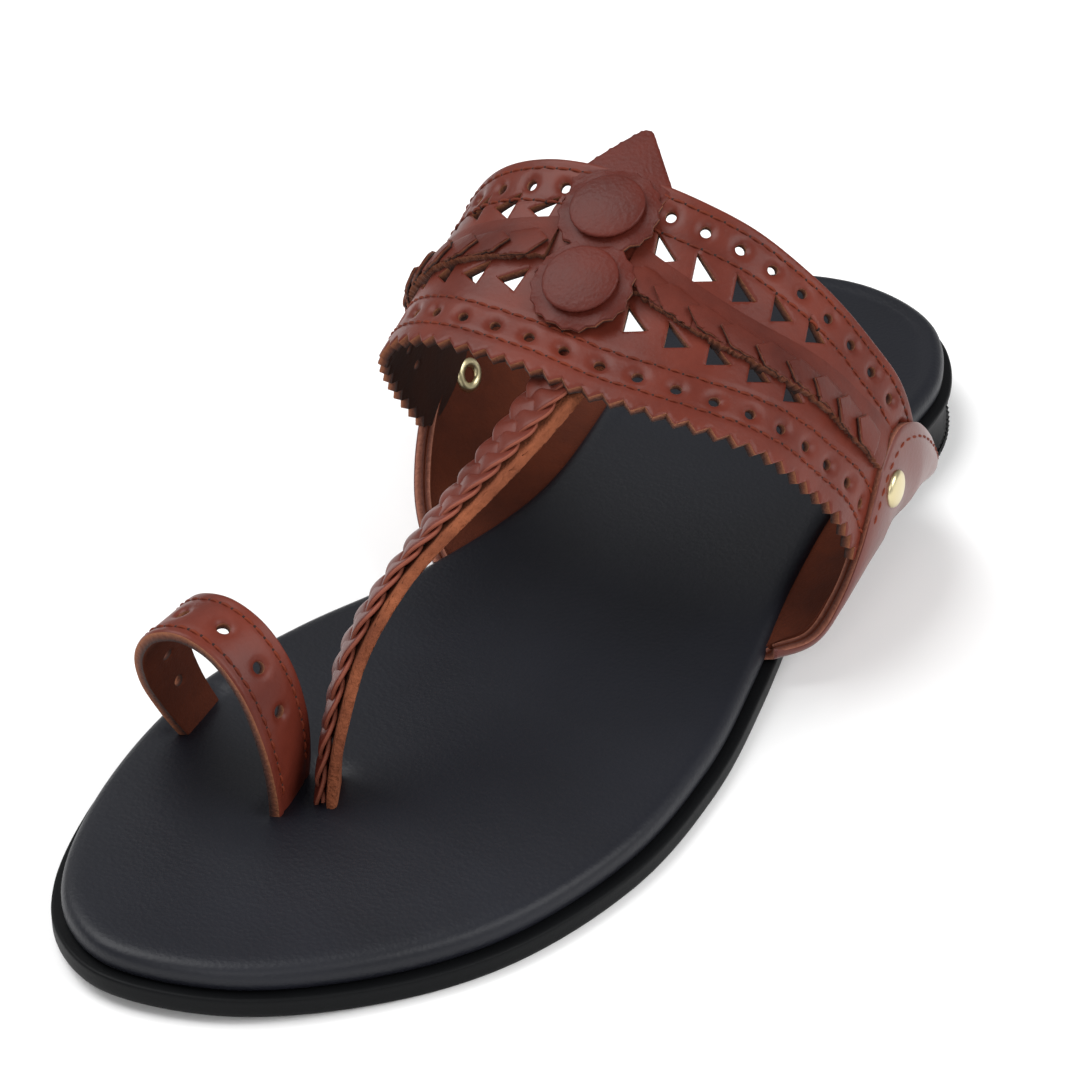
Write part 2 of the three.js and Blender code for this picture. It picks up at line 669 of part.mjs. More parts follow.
const COLOURS = {
  rubber: 0x24262b,
  lining: 0x1d1f26,
  cognac: 0x7a3b22,
  braid: 0x6d3322,
  brass: 0xc9b06a,
};
function addPart(group, name, solid, colour, roughness, metalness = 0) {
  const pieces = solid.decompose();
  pieces.sort((a, b) => b.volume() - a.volume());
  const mesh = pieces[0].getMesh();
  const geometry = new THREE.BufferGeometry();
  const positions = new Float32Array(mesh.numVert * 3);
  for (let i = 0; i < mesh.numVert; i += 1) {
    for (let k = 0; k < 3; k += 1) positions[3 * i + k] = mesh.vertProperties[i * mesh.numProp + k];
  }
  geometry.setAttribute('position', new THREE.BufferAttribute(positions, 3));
  geometry.setIndex(new THREE.BufferAttribute(new Uint32Array(mesh.triVerts), 1));
  geometry.computeVertexNormals();
  const material = new THREE.MeshStandardMaterial({ color: colour, roughness, metalness });
  const part = new THREE.Mesh(geometry, material);
  part.name = name;
  group.add(part);
}

const group = new THREE.Group();
group.name = 'kolhapuri_sandal_left';
addPart(group, 'outsole', outsole, COLOURS.rubber, 0.75);
addPart(group, 'insole', insole, COLOURS.lining, 0.5);
addPart(group, 'upper', upper, COLOURS.cognac, 0.55);
addPart(group, 'toe_loop', loop, COLOURS.cognac, 0.5);
addPart(group, 'leaf_tab', leaf, COLOURS.cognac, 0.55);
addPart(group, 'rosette_front', rosetteFront, COLOURS.cognac, 0.6);
addPart(group, 'rosette_back', rosetteBack, COLOURS.cognac, 0.6);
addPart(group, 'button_front', buttonFront, COLOURS.cognac, 0.5);
addPart(group, 'button_back', buttonBack, COLOURS.cognac, 0.5);
addPart(group, 'braid_medial', stripMedial, COLOURS.braid, 0.65);
addPart(group, 'braid_lateral', stripLateral, COLOURS.braid, 0.65);
addPart(group, 'rivet_medial', rivetMedial, COLOURS.brass, 0.3, 1);
addPart(group, 'rivet_lateral', rivetLateral, COLOURS.brass, 0.3, 1);

// Origin to the bottom centre of the whole shoe's box.
const box = new THREE.Box3().setFromObject(group);
const shift = new THREE.Vector3(-(box.min.x + box.max.x) / 2, -(box.min.y + box.max.y) / 2, -box.min.z);
group.children.forEach((part) => part.geometry.translate(shift.x, shift.y, shift.z));

export default group;
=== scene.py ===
# A left kolhapuri sandal: black rubber sole and padded footbed, reddish brown leather straps.
import math

import bpy
import numpy as np
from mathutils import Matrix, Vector
from mathutils.geometry import delaunay_2d_cdt
from mathutils.kdtree import KDTree


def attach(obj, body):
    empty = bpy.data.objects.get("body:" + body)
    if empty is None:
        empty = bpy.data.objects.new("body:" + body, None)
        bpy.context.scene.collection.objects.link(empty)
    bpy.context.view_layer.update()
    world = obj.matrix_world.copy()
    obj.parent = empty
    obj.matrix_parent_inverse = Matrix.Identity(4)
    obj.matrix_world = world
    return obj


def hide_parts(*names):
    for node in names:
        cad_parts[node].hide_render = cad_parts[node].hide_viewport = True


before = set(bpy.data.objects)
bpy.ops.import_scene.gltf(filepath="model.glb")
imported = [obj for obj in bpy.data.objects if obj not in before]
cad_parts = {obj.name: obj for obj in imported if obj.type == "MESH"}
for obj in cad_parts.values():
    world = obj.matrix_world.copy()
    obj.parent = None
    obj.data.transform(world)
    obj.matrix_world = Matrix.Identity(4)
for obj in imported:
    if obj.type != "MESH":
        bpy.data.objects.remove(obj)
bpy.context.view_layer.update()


# ---------------- studio
# A plain pale floor and soft light from large boxes. The camera stands in front of the shoe's
# outer side, about a third of the way up, and looks down over the toe at the whole shoe.
MM = 0.001


def hex_linear(text):
    """An sRGB hex colour as linear red, green, blue and full alpha."""
    channels = [int(text[i:i + 2], 16) / 255 for i in (1, 3, 5)]
    return [c / 12.92 if c <= 0.04045 else ((c + 0.055) / 1.055) ** 2.4 for c in channels] + [1.0]


def plug(tree, node, inputs):
    """Gives a node's inputs their values, or what feeds them: a socket, or a node's first output."""
    for name, value in dict(inputs).items():
        if isinstance(value, bpy.types.Node):
            value = next(socket for socket in value.outputs if socket.enabled)
        if isinstance(value, bpy.types.NodeSocket):
            tree.links.new(value, node.inputs[name])
        else:
            node.inputs[name].default_value = value


def add_node(tree, kind, inputs=(), **settings):
    """Adds a node with its settings and plugs in its inputs."""
    node = tree.nodes.new(kind)
    for name, value in settings.items():
        setattr(node, name, value)
    plug(tree, node, inputs)
    return node


def new_material(name):
    """An empty material with its output node: (material, tree, principled shader)."""
    material = bpy.data.materials.new(name)
    material.use_nodes = True
    tree = material.node_tree
    tree.nodes.clear()
    shader = add_node(tree, "ShaderNodeBsdfPrincipled")
    add_node(tree, "ShaderNodeOutputMaterial", {"Surface": shader})
    return material, tree, shader


def put_in_scene(name, data):
    """A new object in the scene, at the origin and unturned."""
    thing = bpy.data.objects.new(name, data)
    bpy.context.scene.collection.objects.link(thing)
    return thing


def look_along(thing, start, target):
    """Stands a camera or lamp at start and points it at target."""
    thing.location = start
    thing.rotation_euler = (Vector(target) - Vector(start)).to_track_quat("-Z", "Y").to_euler()


CAMERA_MM = Vector((297.7, -502.8, 424.9))
AIM_MM = Vector((-1.2, -8.0, 29.0))
camera_data = bpy.data.cameras.new("camera")
camera_data.lens = 129.0
camera_data.sensor_width = 36.0
camera = put_in_scene("camera", camera_data)
look_along(camera, CAMERA_MM * MM, AIM_MM * MM)
bpy.context.scene.camera = camera
bpy.context.scene.view_settings.view_transform = "Standard"

FLOOR_SIZE = 6.0
floor_mesh = bpy.data.meshes.new("floor")
half_floor = FLOOR_SIZE / 2
floor_mesh.from_pydata(
    [(-half_floor, -half_floor, 0), (half_floor, -half_floor, 0),
     (half_floor, half_floor, 0), (-half_floor, half_floor, 0)], [], [(0, 1, 2, 3)])
floor = put_in_scene("floor", floor_mesh)
# Matt paint, nearly white: it takes a soft shadow and gives no reflection.
floor_paint, _, floor_shader = new_material("matt_pale_paint")
floor_shader.inputs["Base Color"].default_value = hex_linear("#fafafa")
floor_shader.inputs["Roughness"].default_value = 0.9
floor_shader.inputs["Specular IOR Level"].default_value = 0.1
floor_mesh.materials.append(floor_paint)

world = bpy.data.worlds.new("studio_air")
world.use_nodes = True
world.node_tree.nodes["Background"].inputs["Color"].default_value = (1.0, 1.0, 1.0, 1.0)
world.node_tree.nodes["Background"].inputs["Strength"].default_value = 0.3
bpy.context.scene.world = world

# Each box of light: where it hangs, what it points at, its size in metres and its power in watts.
SOFT_BOXES = {
    "overhead": {"at": (-0.75, -0.15, 1.35), "to": (0, 0, 0), "size": 1.3, "power": 23.0},
    "front": {"at": (0.55, -1.15, 0.80), "to": (0, 0, 0.03), "size": 0.8, "power": 6.0},
    "far_side": {"at": (1.30, 0.25, 1.05), "to": (0.1, 0, 0), "size": 1.2, "power": 19.0},
}
for name, row in SOFT_BOXES.items():
    data = bpy.data.lights.new("softbox_" + name, "AREA")
    data.shape = "SQUARE"
    data.size = row["size"]
    data.energy = row["power"]
    look_along(put_in_scene("softbox_" + name, data), row["at"], row["to"])


# ---------------- outsole
# One moulded unit of black rubber: thin under the toes, an arch, and a low heel whose wall is
# drawn in a little. Its tread is fine ribs that run across, and shows as teeth round the heel.
TOE_TIP_Y = -124.9646
CENTRE_X = -1.8244
SOLE = {
    "toe_spring": 2.0, "spring_length": 35.0, "fore_stack": 9.0, "heel_stack": 17.0,
    "ramp_start": 108.0, "ramp_end": 190.0, "arch_start": 116.0, "arch_end": 188.0,
    "arch_lift": 3.2, "heel_bevel": 1.2, "insole_thick": 5.0, "insole_inset": 1.9, "heel_waist": 1.3,
    "bevel_start": 240.0, "length": 250.0, "waist_start": 150.0, "waist_full": 195.0,
}
RIB = {"pitch": 1.5, "height": 0.9, "rand": 3.2, "seen_from": 160.0, "seen_full": 190.0}
# Outer edge: across from the middle line, and along from the toe tip.
OUTLINE = [
    (-14.0, 0.0), (5.2, 4.6), (22.6, 18.0), (39.4, 41.0), (47.8, 71.0), (47.2, 100.0),
    (42.2, 127.0), (37.2, 151.0), (33.8, 178.0), (33.4, 203.0), (30.8, 226.0), (19.4, 243.6),
    (0.0, 250.0), (-19.8, 243.4), (-31.8, 226.0), (-30.2, 203.0), (-24.4, 178.0), (-22.8, 152.0),
    (-30.6, 124.0), (-41.2, 96.0), (-46.8, 70.0), (-43.8, 40.0), (-35.6, 16.8), (-26.4, 5.4),
]


def smooth(low, high, value):
    """A soft step from 0 at low to 1 at high."""
    t = np.clip((value - low) / (high - low), 0, 1)
    return t * t * (3 - 2 * t)


def unit(v):
    return v / np.maximum(np.linalg.norm(v, axis=-1, keepdims=True), 1e-9)


def bell(distance, width):
    """A soft bump or dent: 1 in the middle, falling to nothing past its width."""
    return np.exp(-(distance / width) ** 2)


def length_so_far(points):
    return np.concatenate([[0], np.cumsum(np.linalg.norm(np.diff(points, axis=0), axis=1))])


def spline(points, closed=False, steps=40):
    """A centripetal spline through the points: (dense points, length so far at each)."""
    p = np.asarray(points, float)
    if closed:
        p = np.vstack([p[-1:], p, p[:2]])
    else:
        p = np.vstack([2 * p[0] - p[1], p, 2 * p[-1] - p[-2]])
    t = np.linspace(0, 1, steps, endpoint=False)[:, None]
    dense = []
    for p0, p1, p2, p3 in zip(p[:-3], p[1:-2], p[2:-1], p[3:]):
        d0, d1, d2 = (
            max(1e-4, np.linalg.norm(b - a)) ** 0.5 for a, b in ((p0, p1), (p1, p2), (p2, p3)))
        m1 = ((p1 - p0) / d0 - (p2 - p0) / (d0 + d1) + (p2 - p1) / d1) * d1
        m2 = ((p2 - p1) / d1 - (p3 - p1) / (d1 + d2) + (p3 - p2) / d2) * d1
        dense.append(p1 + m1 * t + (-3 * p1 + 3 * p2 - 2 * m1 - m2) * t**2
                     + (2 * p1 - 2 * p2 + m1 + m2) * t**3)
    dense = np.vstack(dense + [p[-2:-1]])
    return dense, length_so_far(dense)


def walk(where, length, points):
    """The points at distances along a line that has this length so far at each of its points."""
    return np.stack([np.interp(where, length, points[:, k]) for k in range(points.shape[1])], -1)


def curve_through(points):
    """The spline through the points, asked by share of its length (an array)."""
    dense, length = spline(points)
    return lambda share: walk(np.clip(share, 0, 1) * length[-1], length, dense)


def in_frame(points_mm):
    """Points in the maker's own millimetres moved to the frame and turned to metres."""
    return ((np.asarray(points_mm, float) + (CENTRE_X, TOE_TIP_Y, 0.0)) * MM).tolist()


def mesh_piece(name, points_mm, faces, materials, face_slots=None, sharp_deg=40.0, attributes=()):
    """A smooth-shaded piece from points in the maker's own millimetres."""
    mesh = bpy.data.meshes.new(name)
    mesh.from_pydata(in_frame(points_mm), [], [list(map(int, f)) for f in faces])
    for material in materials:
        mesh.materials.append(material)
    if face_slots is not None:
        mesh.polygons.foreach_set("material_index", np.asarray(face_slots, np.int32))
    for key, values in dict(attributes).items():
        data = mesh.attributes.new(key, "FLOAT", "POINT").data
        data.foreach_set("value", np.asarray(values, np.float32))
    mesh.polygons.foreach_set("use_smooth", np.ones(len(faces), bool))
    mesh.update()
    mesh.set_sharp_from_angle(angle=math.radians(sharp_deg))
    return put_in_scene(name, mesh)


def stands_for(piece, node):
    """Ties a piece to the shoe's one body and hides the node that it shows in its place."""
    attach(piece, "root")
    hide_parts(node)


def toe_spring(y):
    return SOLE["toe_spring"] * np.clip((SOLE["spring_length"] - y) / SOLE["spring_length"], 0, 1) ** 2


def underside(y):
    share = np.clip((y - SOLE["arch_start"]) / (SOLE["arch_end"] - SOLE["arch_start"]), 0, 1)
    arch = SOLE["arch_lift"] * np.sin(np.pi * share) ** 2
    back = np.clip((y - SOLE["bevel_start"]) / (SOLE["length"] - SOLE["bevel_start"]), 0, 1)
    return toe_spring(y) + arch + SOLE["heel_bevel"] * back**2


def footbed(y):
    rise = SOLE["heel_stack"] - SOLE["fore_stack"]
    return toe_spring(y) + SOLE["fore_stack"] + rise * smooth(SOLE["ramp_start"], SOLE["ramp_end"], y)


outline_dense, outline_length = spline(OUTLINE, closed=True, steps=60)
RING = 640
ring_at = np.linspace(0, outline_length[-1], RING, endpoint=False)
outline_ring = walk(ring_at, outline_length, outline_dense)
ring_run = unit(np.roll(outline_ring, -3, 0) - np.roll(outline_ring, 3, 0))
ring_in = np.stack([-ring_run[:, 1], ring_run[:, 0]], -1)


def sole_ring(inset, height):
    """The sole's outline moved in by inset, at a height that is a function of y."""
    flat = outline_ring + np.asarray(inset, float).reshape(-1, 1) * ring_in
    return np.column_stack([flat, height(flat[:, 1])])


def inside(points, polygon):
    """Which flat points lie inside a polygon."""
    x, y = points[:, 0], points[:, 1]
    result = np.zeros(len(points), bool)
    for (x0, y0), (x1, y1) in zip(polygon, np.roll(polygon, -1, 0)):
        if y0 != y1:
            result ^= ((y0 > y) != (y1 > y)) & (x < x0 + (y - y0) * (x1 - x0) / (y1 - y0))
    return result


def within(points, loops):
    """Which flat points lie inside the first loop and outside all the others."""
    keep = inside(points, loops[0])
    for hole in loops[1:]:
        keep &= ~inside(points, hole)
    return keep


def tree_of(points):
    """A search tree of flat points, asked for the nearest one."""
    tree = KDTree(len(points))
    for i, p in enumerate(points):
        tree.insert((p[0], p[1], 0), i)
    tree.balance()
    return tree


def gaps(points, tree):
    """Each flat point's distance to the nearest point in the tree."""
    return np.array([tree.find((p[0], p[1], 0))[2] for p in points])


def loops_round(triangles):
    """The loops of point numbers that follow the edges which only one triangle uses."""
    used = {}
    for i, j, k in triangles.tolist():
        used[(i, j)] = used[(j, k)] = used[(k, i)] = True
    ahead = {i: j for i, j in used if (j, i) not in used}
    rims = []
    while ahead:
        first = here = next(iter(ahead))
        rim = []
        while here in ahead:
            rim.append(here)
            here = ahead.pop(here)
        if here == first and len(rim) > 2:
            rims.append(np.array(rim))
    return rims


def cut_flat(outline, holes=(), step=0.8, clear=0.45, bevel=0.3):
    """A flat cut pattern: its points, its triangles, and the loops of point numbers round its edges."""
    loops = [np.asarray(outline, float)] + [np.asarray(h, float) for h in holes]
    border = np.vstack(loops)
    low, high = loops[0].min(0), loops[0].max(0)
    gx, gy = np.meshgrid(
        np.arange(low[0], high[0], step), np.arange(low[1], high[1], step), indexing="ij")
    gx = gx + (np.arange(gx.shape[1]) % 2) * step / 2
    grid = np.column_stack([gx.ravel(), gy.ravel()])
    tree = tree_of(border)
    extra = [grid[gaps(grid, tree) > max(step * clear, bevel * 1.6)]]
    if bevel:
        near = []
        for loop in loops:
            run = unit(np.roll(loop, -1, 0) - np.roll(loop, 1, 0))
            side = np.stack([-run[:, 1], run[:, 0]], -1)
            near += [loop + bevel * side, loop - bevel * side]
        near = np.vstack(near)
        extra.append(near[gaps(near, tree) > bevel * 0.9])
    extra = np.vstack(extra)
    points = np.vstack([border, extra[within(extra, loops)]])
    edges, start = [], 0
    for loop in loops:
        n = len(loop)
        edges += [(start + i, start + (i + 1) % n) for i in range(n)]
        start += n
    out = delaunay_2d_cdt([Vector(p) for p in points.tolist()], edges, [], 0, 1e-7)
    flat = np.array([tuple(v) for v in out[0]])
    triangles = np.array([f for f in out[2] if len(f) == 3])
    triangles = triangles[within(flat[triangles].mean(1), loops)]
    a, b, c = (flat[triangles[:, k]] for k in range(3))
    turn = (b[:, 0] - a[:, 0]) * (c[:, 1] - a[:, 1]) - (b[:, 1] - a[:, 1]) * (c[:, 0] - a[:, 0])
    triangles[turn < 0] = triangles[turn < 0][:, ::-1]
    triangles = triangles[np.abs(turn) > 1e-9]
    return flat, triangles, loops_round(triangles)


def bands_between(rings):
    """Quads that join each ring of point numbers to the next."""
    quads = []
    for a, b in zip(rings[:-1], rings[1:]):
        a2, b2 = np.roll(a, -1), np.roll(b, -1)
        quads.append(np.column_stack([a, a2, b2, b]))
    return np.vstack(quads)


def stacked_rings(rings, cap_height, cap_step):
    """A closed form from a stack of rings, lowest first, with flat-cut caps: (points, faces)."""
    size = len(rings[0])
    points = [np.vstack(rings)]
    numbers = [np.arange(size) + k * size for k in range(len(rings))]
    faces = bands_between(numbers).tolist()
    start = size * len(rings)
    # The cut pattern lists its outline first, so those points are the ring's own.
    for ring, height, numbers_here, flip in (
            (rings[0], cap_height[0], numbers[0], True), (rings[-1], cap_height[1], numbers[-1], False)):
        flat, triangles, _ = cut_flat(ring[:, :2], step=cap_step, clear=0.7, bevel=0)
        inner = flat[size:]
        number = np.concatenate([numbers_here, start + np.arange(len(inner))])
        start += len(inner)
        points.append(np.column_stack([inner, height(inner)]))
        tri = number[triangles]
        faces += (tri[:, ::-1] if flip else tri).tolist()
    return np.vstack(points), faces


def outsole_top(y):
    return footbed(y) - SOLE["insole_thick"]


def wall_height(share):
    """Height of the outsole's wall at a share of the way up. At the heel it starts above the ribs."""
    def at(y):
        foot = underside(y) + RIB["height"] * smooth(RIB["seen_from"], RIB["seen_full"], y)
        return foot + share * (outsole_top(y) - foot)
    return at


def rib_root(y):
    return underside(y) + RIB["height"]


heel_share = smooth(SOLE["waist_start"], SOLE["waist_full"], outline_ring[:, 1])
# Each ring: share of the wall's height, inset, and how much of the heel's waist it takes.
OUTSOLE_RINGS = [
    (0.0, 0.9, 0.0), (0.06, 0.35, 0.15), (0.16, 0.1, 0.6), (0.32, 0.0, 1.0), (0.55, 0.0, 1.0),
    (0.74, 0.0, 0.8), (0.86, 0.0, 0.3), (0.93, 0.05, 0.0), (0.98, 0.2, 0.0), (1.0, 0.6, 0.0),
]
outsole_rings = [sole_ring(RIB["rand"], rib_root), sole_ring(RIB["rand"] - 0.4, wall_height(0))]
outsole_rings += [
    sole_ring(inset + SOLE["heel_waist"] * waist * heel_share, wall_height(share))
    for share, inset, waist in OUTSOLE_RINGS
]
sole_points, sole_faces = stacked_rings(
    outsole_rings,
    (lambda p: rib_root(p[:, 1]), lambda p: outsole_top(p[:, 1])), 4.0)

def noise(tree, place, size_mm, detail):
    """A cloudy pattern whose patches are about size_mm across."""
    return add_node(
        tree, "ShaderNodeTexNoise", {"Vector": place, "Scale": 1000 / size_mm, "Detail": detail})


def stretched(tree, value, low, high):
    """A value from 0 to 1 stretched to run from low to high."""
    return add_node(tree, "ShaderNodeMapRange", {"Value": value, "To Min": low, "To Max": high})


def sum_of(tree, first, second):
    return add_node(tree, "ShaderNodeMath", {0: first, 1: second}, operation="ADD")


def two_tones(tree, shader, share, dark, light):
    """Colours the shader from dark to light by a share."""
    tone = add_node(tree, "ShaderNodeMix", {"Factor": share}, data_type="RGBA")
    tone.inputs["A"].default_value = hex_linear(dark)
    tone.inputs["B"].default_value = hex_linear(light)
    plug(tree, shader, {"Base Color": tone})


def relieved(tree, shader, height, depth_mm, strength):
    """Gives the shader a fine relief."""
    plug(tree, shader, {"Normal": add_node(
        tree, "ShaderNodeBump", {"Height": height, "Distance": depth_mm * MM, "Strength": strength})})


# Moulded vulcanised rubber: black, matt, with a faint bloom and the mould's fine texture.
rubber, tree, shader = new_material("moulded_black_rubber")
place = add_node(tree, "ShaderNodeTexCoord").outputs["Object"]
bloom = noise(tree, place, 18, 4.0)
two_tones(tree, shader, bloom, "#08090a", "#0e0f11")
plug(tree, shader, {"Roughness": stretched(tree, bloom, 0.42, 0.6)})
relieved(tree, shader, noise(tree, place, 0.5, 2.0), 0.08, 0.5)
shader.inputs["Specular IOR Level"].default_value = 0.1

outsole = mesh_piece("outsole_unit", sole_points, sole_faces, [rubber], sharp_deg=50)
stands_for(outsole, "outsole")


def new_tree(name, sockets):
    """An empty Geometry Nodes tree with named inputs: (tree, its input node, its output node)."""
    tree = bpy.data.node_groups.new(name, "GeometryNodeTree")
    tree.interface.new_socket("Geometry", in_out="OUTPUT", socket_type="NodeSocketGeometry")
    tree.interface.new_socket("Geometry", in_out="INPUT", socket_type="NodeSocketGeometry")
    for label, kind in sockets:
        tree.interface.new_socket(label, in_out="INPUT", socket_type="NodeSocket" + kind)
    return tree, add_node(tree, "NodeGroupInput"), add_node(tree, "NodeGroupOutput")


def grown(tree, values, seed_object, name):
    """Runs a Geometry Nodes tree on seed_object and returns the result as a plain mesh piece."""
    modifier = seed_object.modifiers.new(tree.name, "NODES")
    modifier.node_group = tree
    for item in tree.interface.items_tree:
        if item.item_type == "SOCKET" and item.in_out == "INPUT" and item.name in values:
            modifier[item.identifier] = values[item.name]
    depsgraph = bpy.context.evaluated_depsgraph_get()
    mesh = bpy.data.meshes.new_from_object(seed_object.evaluated_get(depsgraph))
    mesh.name = name
    bpy.data.objects.remove(seed_object)
    return put_in_scene(name, mesh)


def seed_mesh(name, points_mm, edges=(), vectors=()):
    """Loose points or edges that a tree grows pieces on, with the directions it needs at each."""
    mesh = bpy.data.meshes.new(name)
    mesh.from_pydata(in_frame(points_mm), [tuple(map(int, e)) for e in edges], [])
    for key, values in dict(vectors).items():
        data = mesh.attributes.new(key, "FLOAT_VECTOR", "POINT").data
        data.foreach_set("vector", np.asarray(values, np.float32).ravel())
    return put_in_scene(name, mesh)


# Tread ribs: one line from edge to edge for each, swept with a four-cornered section.
rib_tree, rib_in, rib_out = new_tree("tread_ribs", [("Rib radius", "Float"), ("Rubber", "Material")])
rib_line = add_node(rib_tree, "GeometryNodeMeshToCurve", {"Mesh": rib_in})
rib_up = add_node(rib_tree, "GeometryNodeSetCurveNormal", {"Curve": rib_line}, mode="Z_UP")
rib_section = add_node(
    rib_tree, "GeometryNodeCurvePrimitiveCircle", {"Resolution": 4, "Radius": rib_in.outputs["Rib radius"]})
rib_sweep = add_node(
    rib_tree, "GeometryNodeCurveToMesh",
    {"Curve": rib_up, "Profile Curve": rib_section, "Fill Caps": True})
rib_real = add_node(rib_tree, "GeometryNodeRealizeInstances", {"Geometry": rib_sweep})
rib_paint = add_node(
    rib_tree, "GeometryNodeSetMaterial", {"Geometry": rib_real, "Material": rib_in.outputs["Rubber"]})
plug(rib_tree, rib_out, {"Geometry": rib_paint})

rib_ends = outline_ring + (RIB["rand"] - (RIB["rand"] - 0.3) * heel_share)[:, None] * ring_in
toe_index, heel_index = rib_ends[:, 1].argmin(), rib_ends[:, 1].argmax()
lateral_side = np.roll(rib_ends, -toe_index, 0)[:(heel_index - toe_index) % RING + 1]
medial_side = np.roll(rib_ends[::-1], toe_index + 1, 0)[:(toe_index - heel_index) % RING + 1]
rib_points, rib_edges = [], []
for y in np.arange(rib_ends[toe_index, 1] + 1.2, rib_ends[heel_index, 1] - 0.5, RIB["pitch"]):
    ends = [np.interp(y, side[:, 1], side[:, 0]) for side in (medial_side, lateral_side)]
    rib_points += [(ends[0], y, rib_root(y)), (ends[1], y, rib_root(y))]
    rib_edges.append((len(rib_points) - 2, len(rib_points) - 1))
ribs = grown(rib_tree, {"Rib radius": RIB["height"] * MM, "Rubber": rubber},
             seed_mesh("rib_lines", rib_points, rib_edges), "tread_ribs")
stands_for(ribs, "outsole")


# ---------------- footbed
# A board core under thin foam, wrapped in smooth black leather that is turned under all round.
# Its edge is softly rounded and stands just inside the outsole, with a dark line between them.
CUSHION = {"dish": 0.7, "dish_start": 150.0, "dish_full": 215.0, "shadow_gap": 0.15, "slot_dent": 0.9}
# Places where a leg goes down into the footbed: across, along, and the slot's half length.
SLOTS = [(-38.6, 64.5, 6.6), (-11.5, 54.0, 7.0), (-7.2, 57.6, 4.2)]


def footbed_top(flat):
    """Height of the footbed's leather, dished under the heel and drawn in at the slots."""
    x, y = flat[:, 0], flat[:, 1]
    height = footbed(y) - CUSHION["dish"] * smooth(CUSHION["dish_start"], CUSHION["dish_full"], y)
    for slot_x, slot_y, half in SLOTS:
        away = np.hypot(x - slot_x, np.maximum(np.abs(y - slot_y) - half, 0))
        height -= CUSHION["slot_dent"] * bell(away, 2.2)
    return height


def insole_height(rise):
    """Heights a given rise above the outsole, clear of it by the dark line between them."""
    return lambda y: outsole_top(y) + rise + CUSHION["shadow_gap"]


# Each ring of the wrapped edge: inset past the footbed's own edge, and height above the outsole.
WRAP = [(1.4, 0.0), (0.5, 0.15), (0.12, 0.7), (0.0, 1.6), (0.02, 2.6), (0.3, 3.5), (0.85, 4.2),
        (1.7, 4.62), (2.8, 4.8)]
insole_rings = [sole_ring(SOLE["insole_inset"] + inset, insole_height(rise)) for inset, rise in WRAP]
last = sole_ring(SOLE["insole_inset"] + 4.2, footbed)
last[:, 2] = footbed_top(last[:, :2]) - 0.02
insole_rings.append(last)
insole_points, insole_faces = stacked_rings(
    insole_rings, (lambda p: insole_height(0)(p[:, 1]), footbed_top), 1.6)

# Smooth aniline calf, black with a blue cast: a fine even grain and a soft satin light.
calf, tree, shader = new_material("smooth_black_calf")
place = add_node(tree, "ShaderNodeTexCoord").outputs["Object"]
cloud = noise(tree, place, 30, 5.0)
grain = add_node(tree, "ShaderNodeTexVoronoi", {"Vector": place, "Scale": 1000 / 0.9})
skin = sum_of(tree, grain, noise(tree, place, 0.6, 3.0))
two_tones(tree, shader, cloud, "#0d0e13", "#151720")
plug(tree, shader, {"Roughness": stretched(tree, cloud, 0.4, 0.52)})
relieved(tree, shader, skin, 0.1, 0.35)
shader.inputs["Specular IOR Level"].default_value = 0.3

insole = mesh_piece("footbed_cushion", insole_points, insole_faces, [calf], sharp_deg=70)
stands_for(insole, "insole")


# ---------------- instep band
# Two layers of leather cut as one curved strap and glued back to back: the front edge is pinked,
# both edges carry two seams with a row of punched holes between, and two rows of
# triangles are cut out of the middle. The cut edges stay raw and show pale.
BAND_FRONT = [
    (-45.5, 152.5, 15.0), (-42.6, 145.0, 23.5), (-42.4, 134.5, 38.0), (-39.5, 126.8, 49.6),
    (-32.0, 121.2, 58.8), (-22.0, 117.6, 64.0), (-11.7, 116.4, 65.5), (-1.0, 116.0, 65.7),
    (10.1, 116.2, 64.3), (20.0, 117.6, 63.3), (28.7, 120.2, 61.4), (35.9, 125.0, 57.6),
    (41.0, 130.4, 52.0), (45.0, 137.5, 42.7), (47.7, 143.4, 34.6), (48.2, 150.0, 21.6),
    (47.4, 155.4, 14.0),
]
BAND_BACK = [
    (-46.2, 172.0, 22.0), (-45.4, 167.4, 36.4), (-43.9, 162.4, 53.6), (-39.3, 158.6, 67.2),
    (-33.4, 156.6, 75.6), (-27.6, 155.6, 80.2), (-19.4, 155.5, 83.4), (-10.0, 156.2, 84.3),
    (0.0, 156.8, 84.0), (10.8, 157.6, 82.1), (20.2, 160.0, 77.9), (29.3, 163.5, 70.2),
    (34.8, 166.2, 63.8), (40.1, 169.2, 55.8), (44.3, 172.4, 47.4), (46.2, 175.0, 37.6),
    (46.6, 177.4, 24.0),
]
BAND = {"length": 184.0, "sag": 2.4, "wall": 2.2, "above": 0.4, "end": 0.02}
TOOTH = {"first": 0.615, "pitch": 3.95, "out": 0.9, "in": 0.8}
PUNCH = {"pitch": 7.2, "radius": 1.1, "front": 7.0, "back": 4.9, "dish": 0.5, "first": 0.4675,
         "from": 22.0, "to": 166.0, "back_shift": 1.2}
SEAM = {"front": (3.9, 10.6), "back": (1.8, 8.4), "pitch": 2.6, "thread": 0.3, "furrow": 0.22, "gap": 0.25,
        "rise": 0.55, "hole": 0.5, "slant": 0.12}
# Triangles: how far back each of the two rows starts, its drift forward per step, and the pitch.
CUTOUT = {"front_row": (15.6, 0.8), "back_row": (31.0, 1.15), "pitch": 8.2, "lateral_first": 0.5515,
          "medial_first": 0.43}
# One triangle: corners along and across from its front corner.
TRIANGLE = [(0.0, 0.0), (4.3, 1.8), (-0.9, 5.8)]

band_front = curve_through(BAND_FRONT)
band_back = curve_through(BAND_BACK)


def band_width(s):
    return np.linalg.norm(band_front(s) - band_back(s), axis=-1)


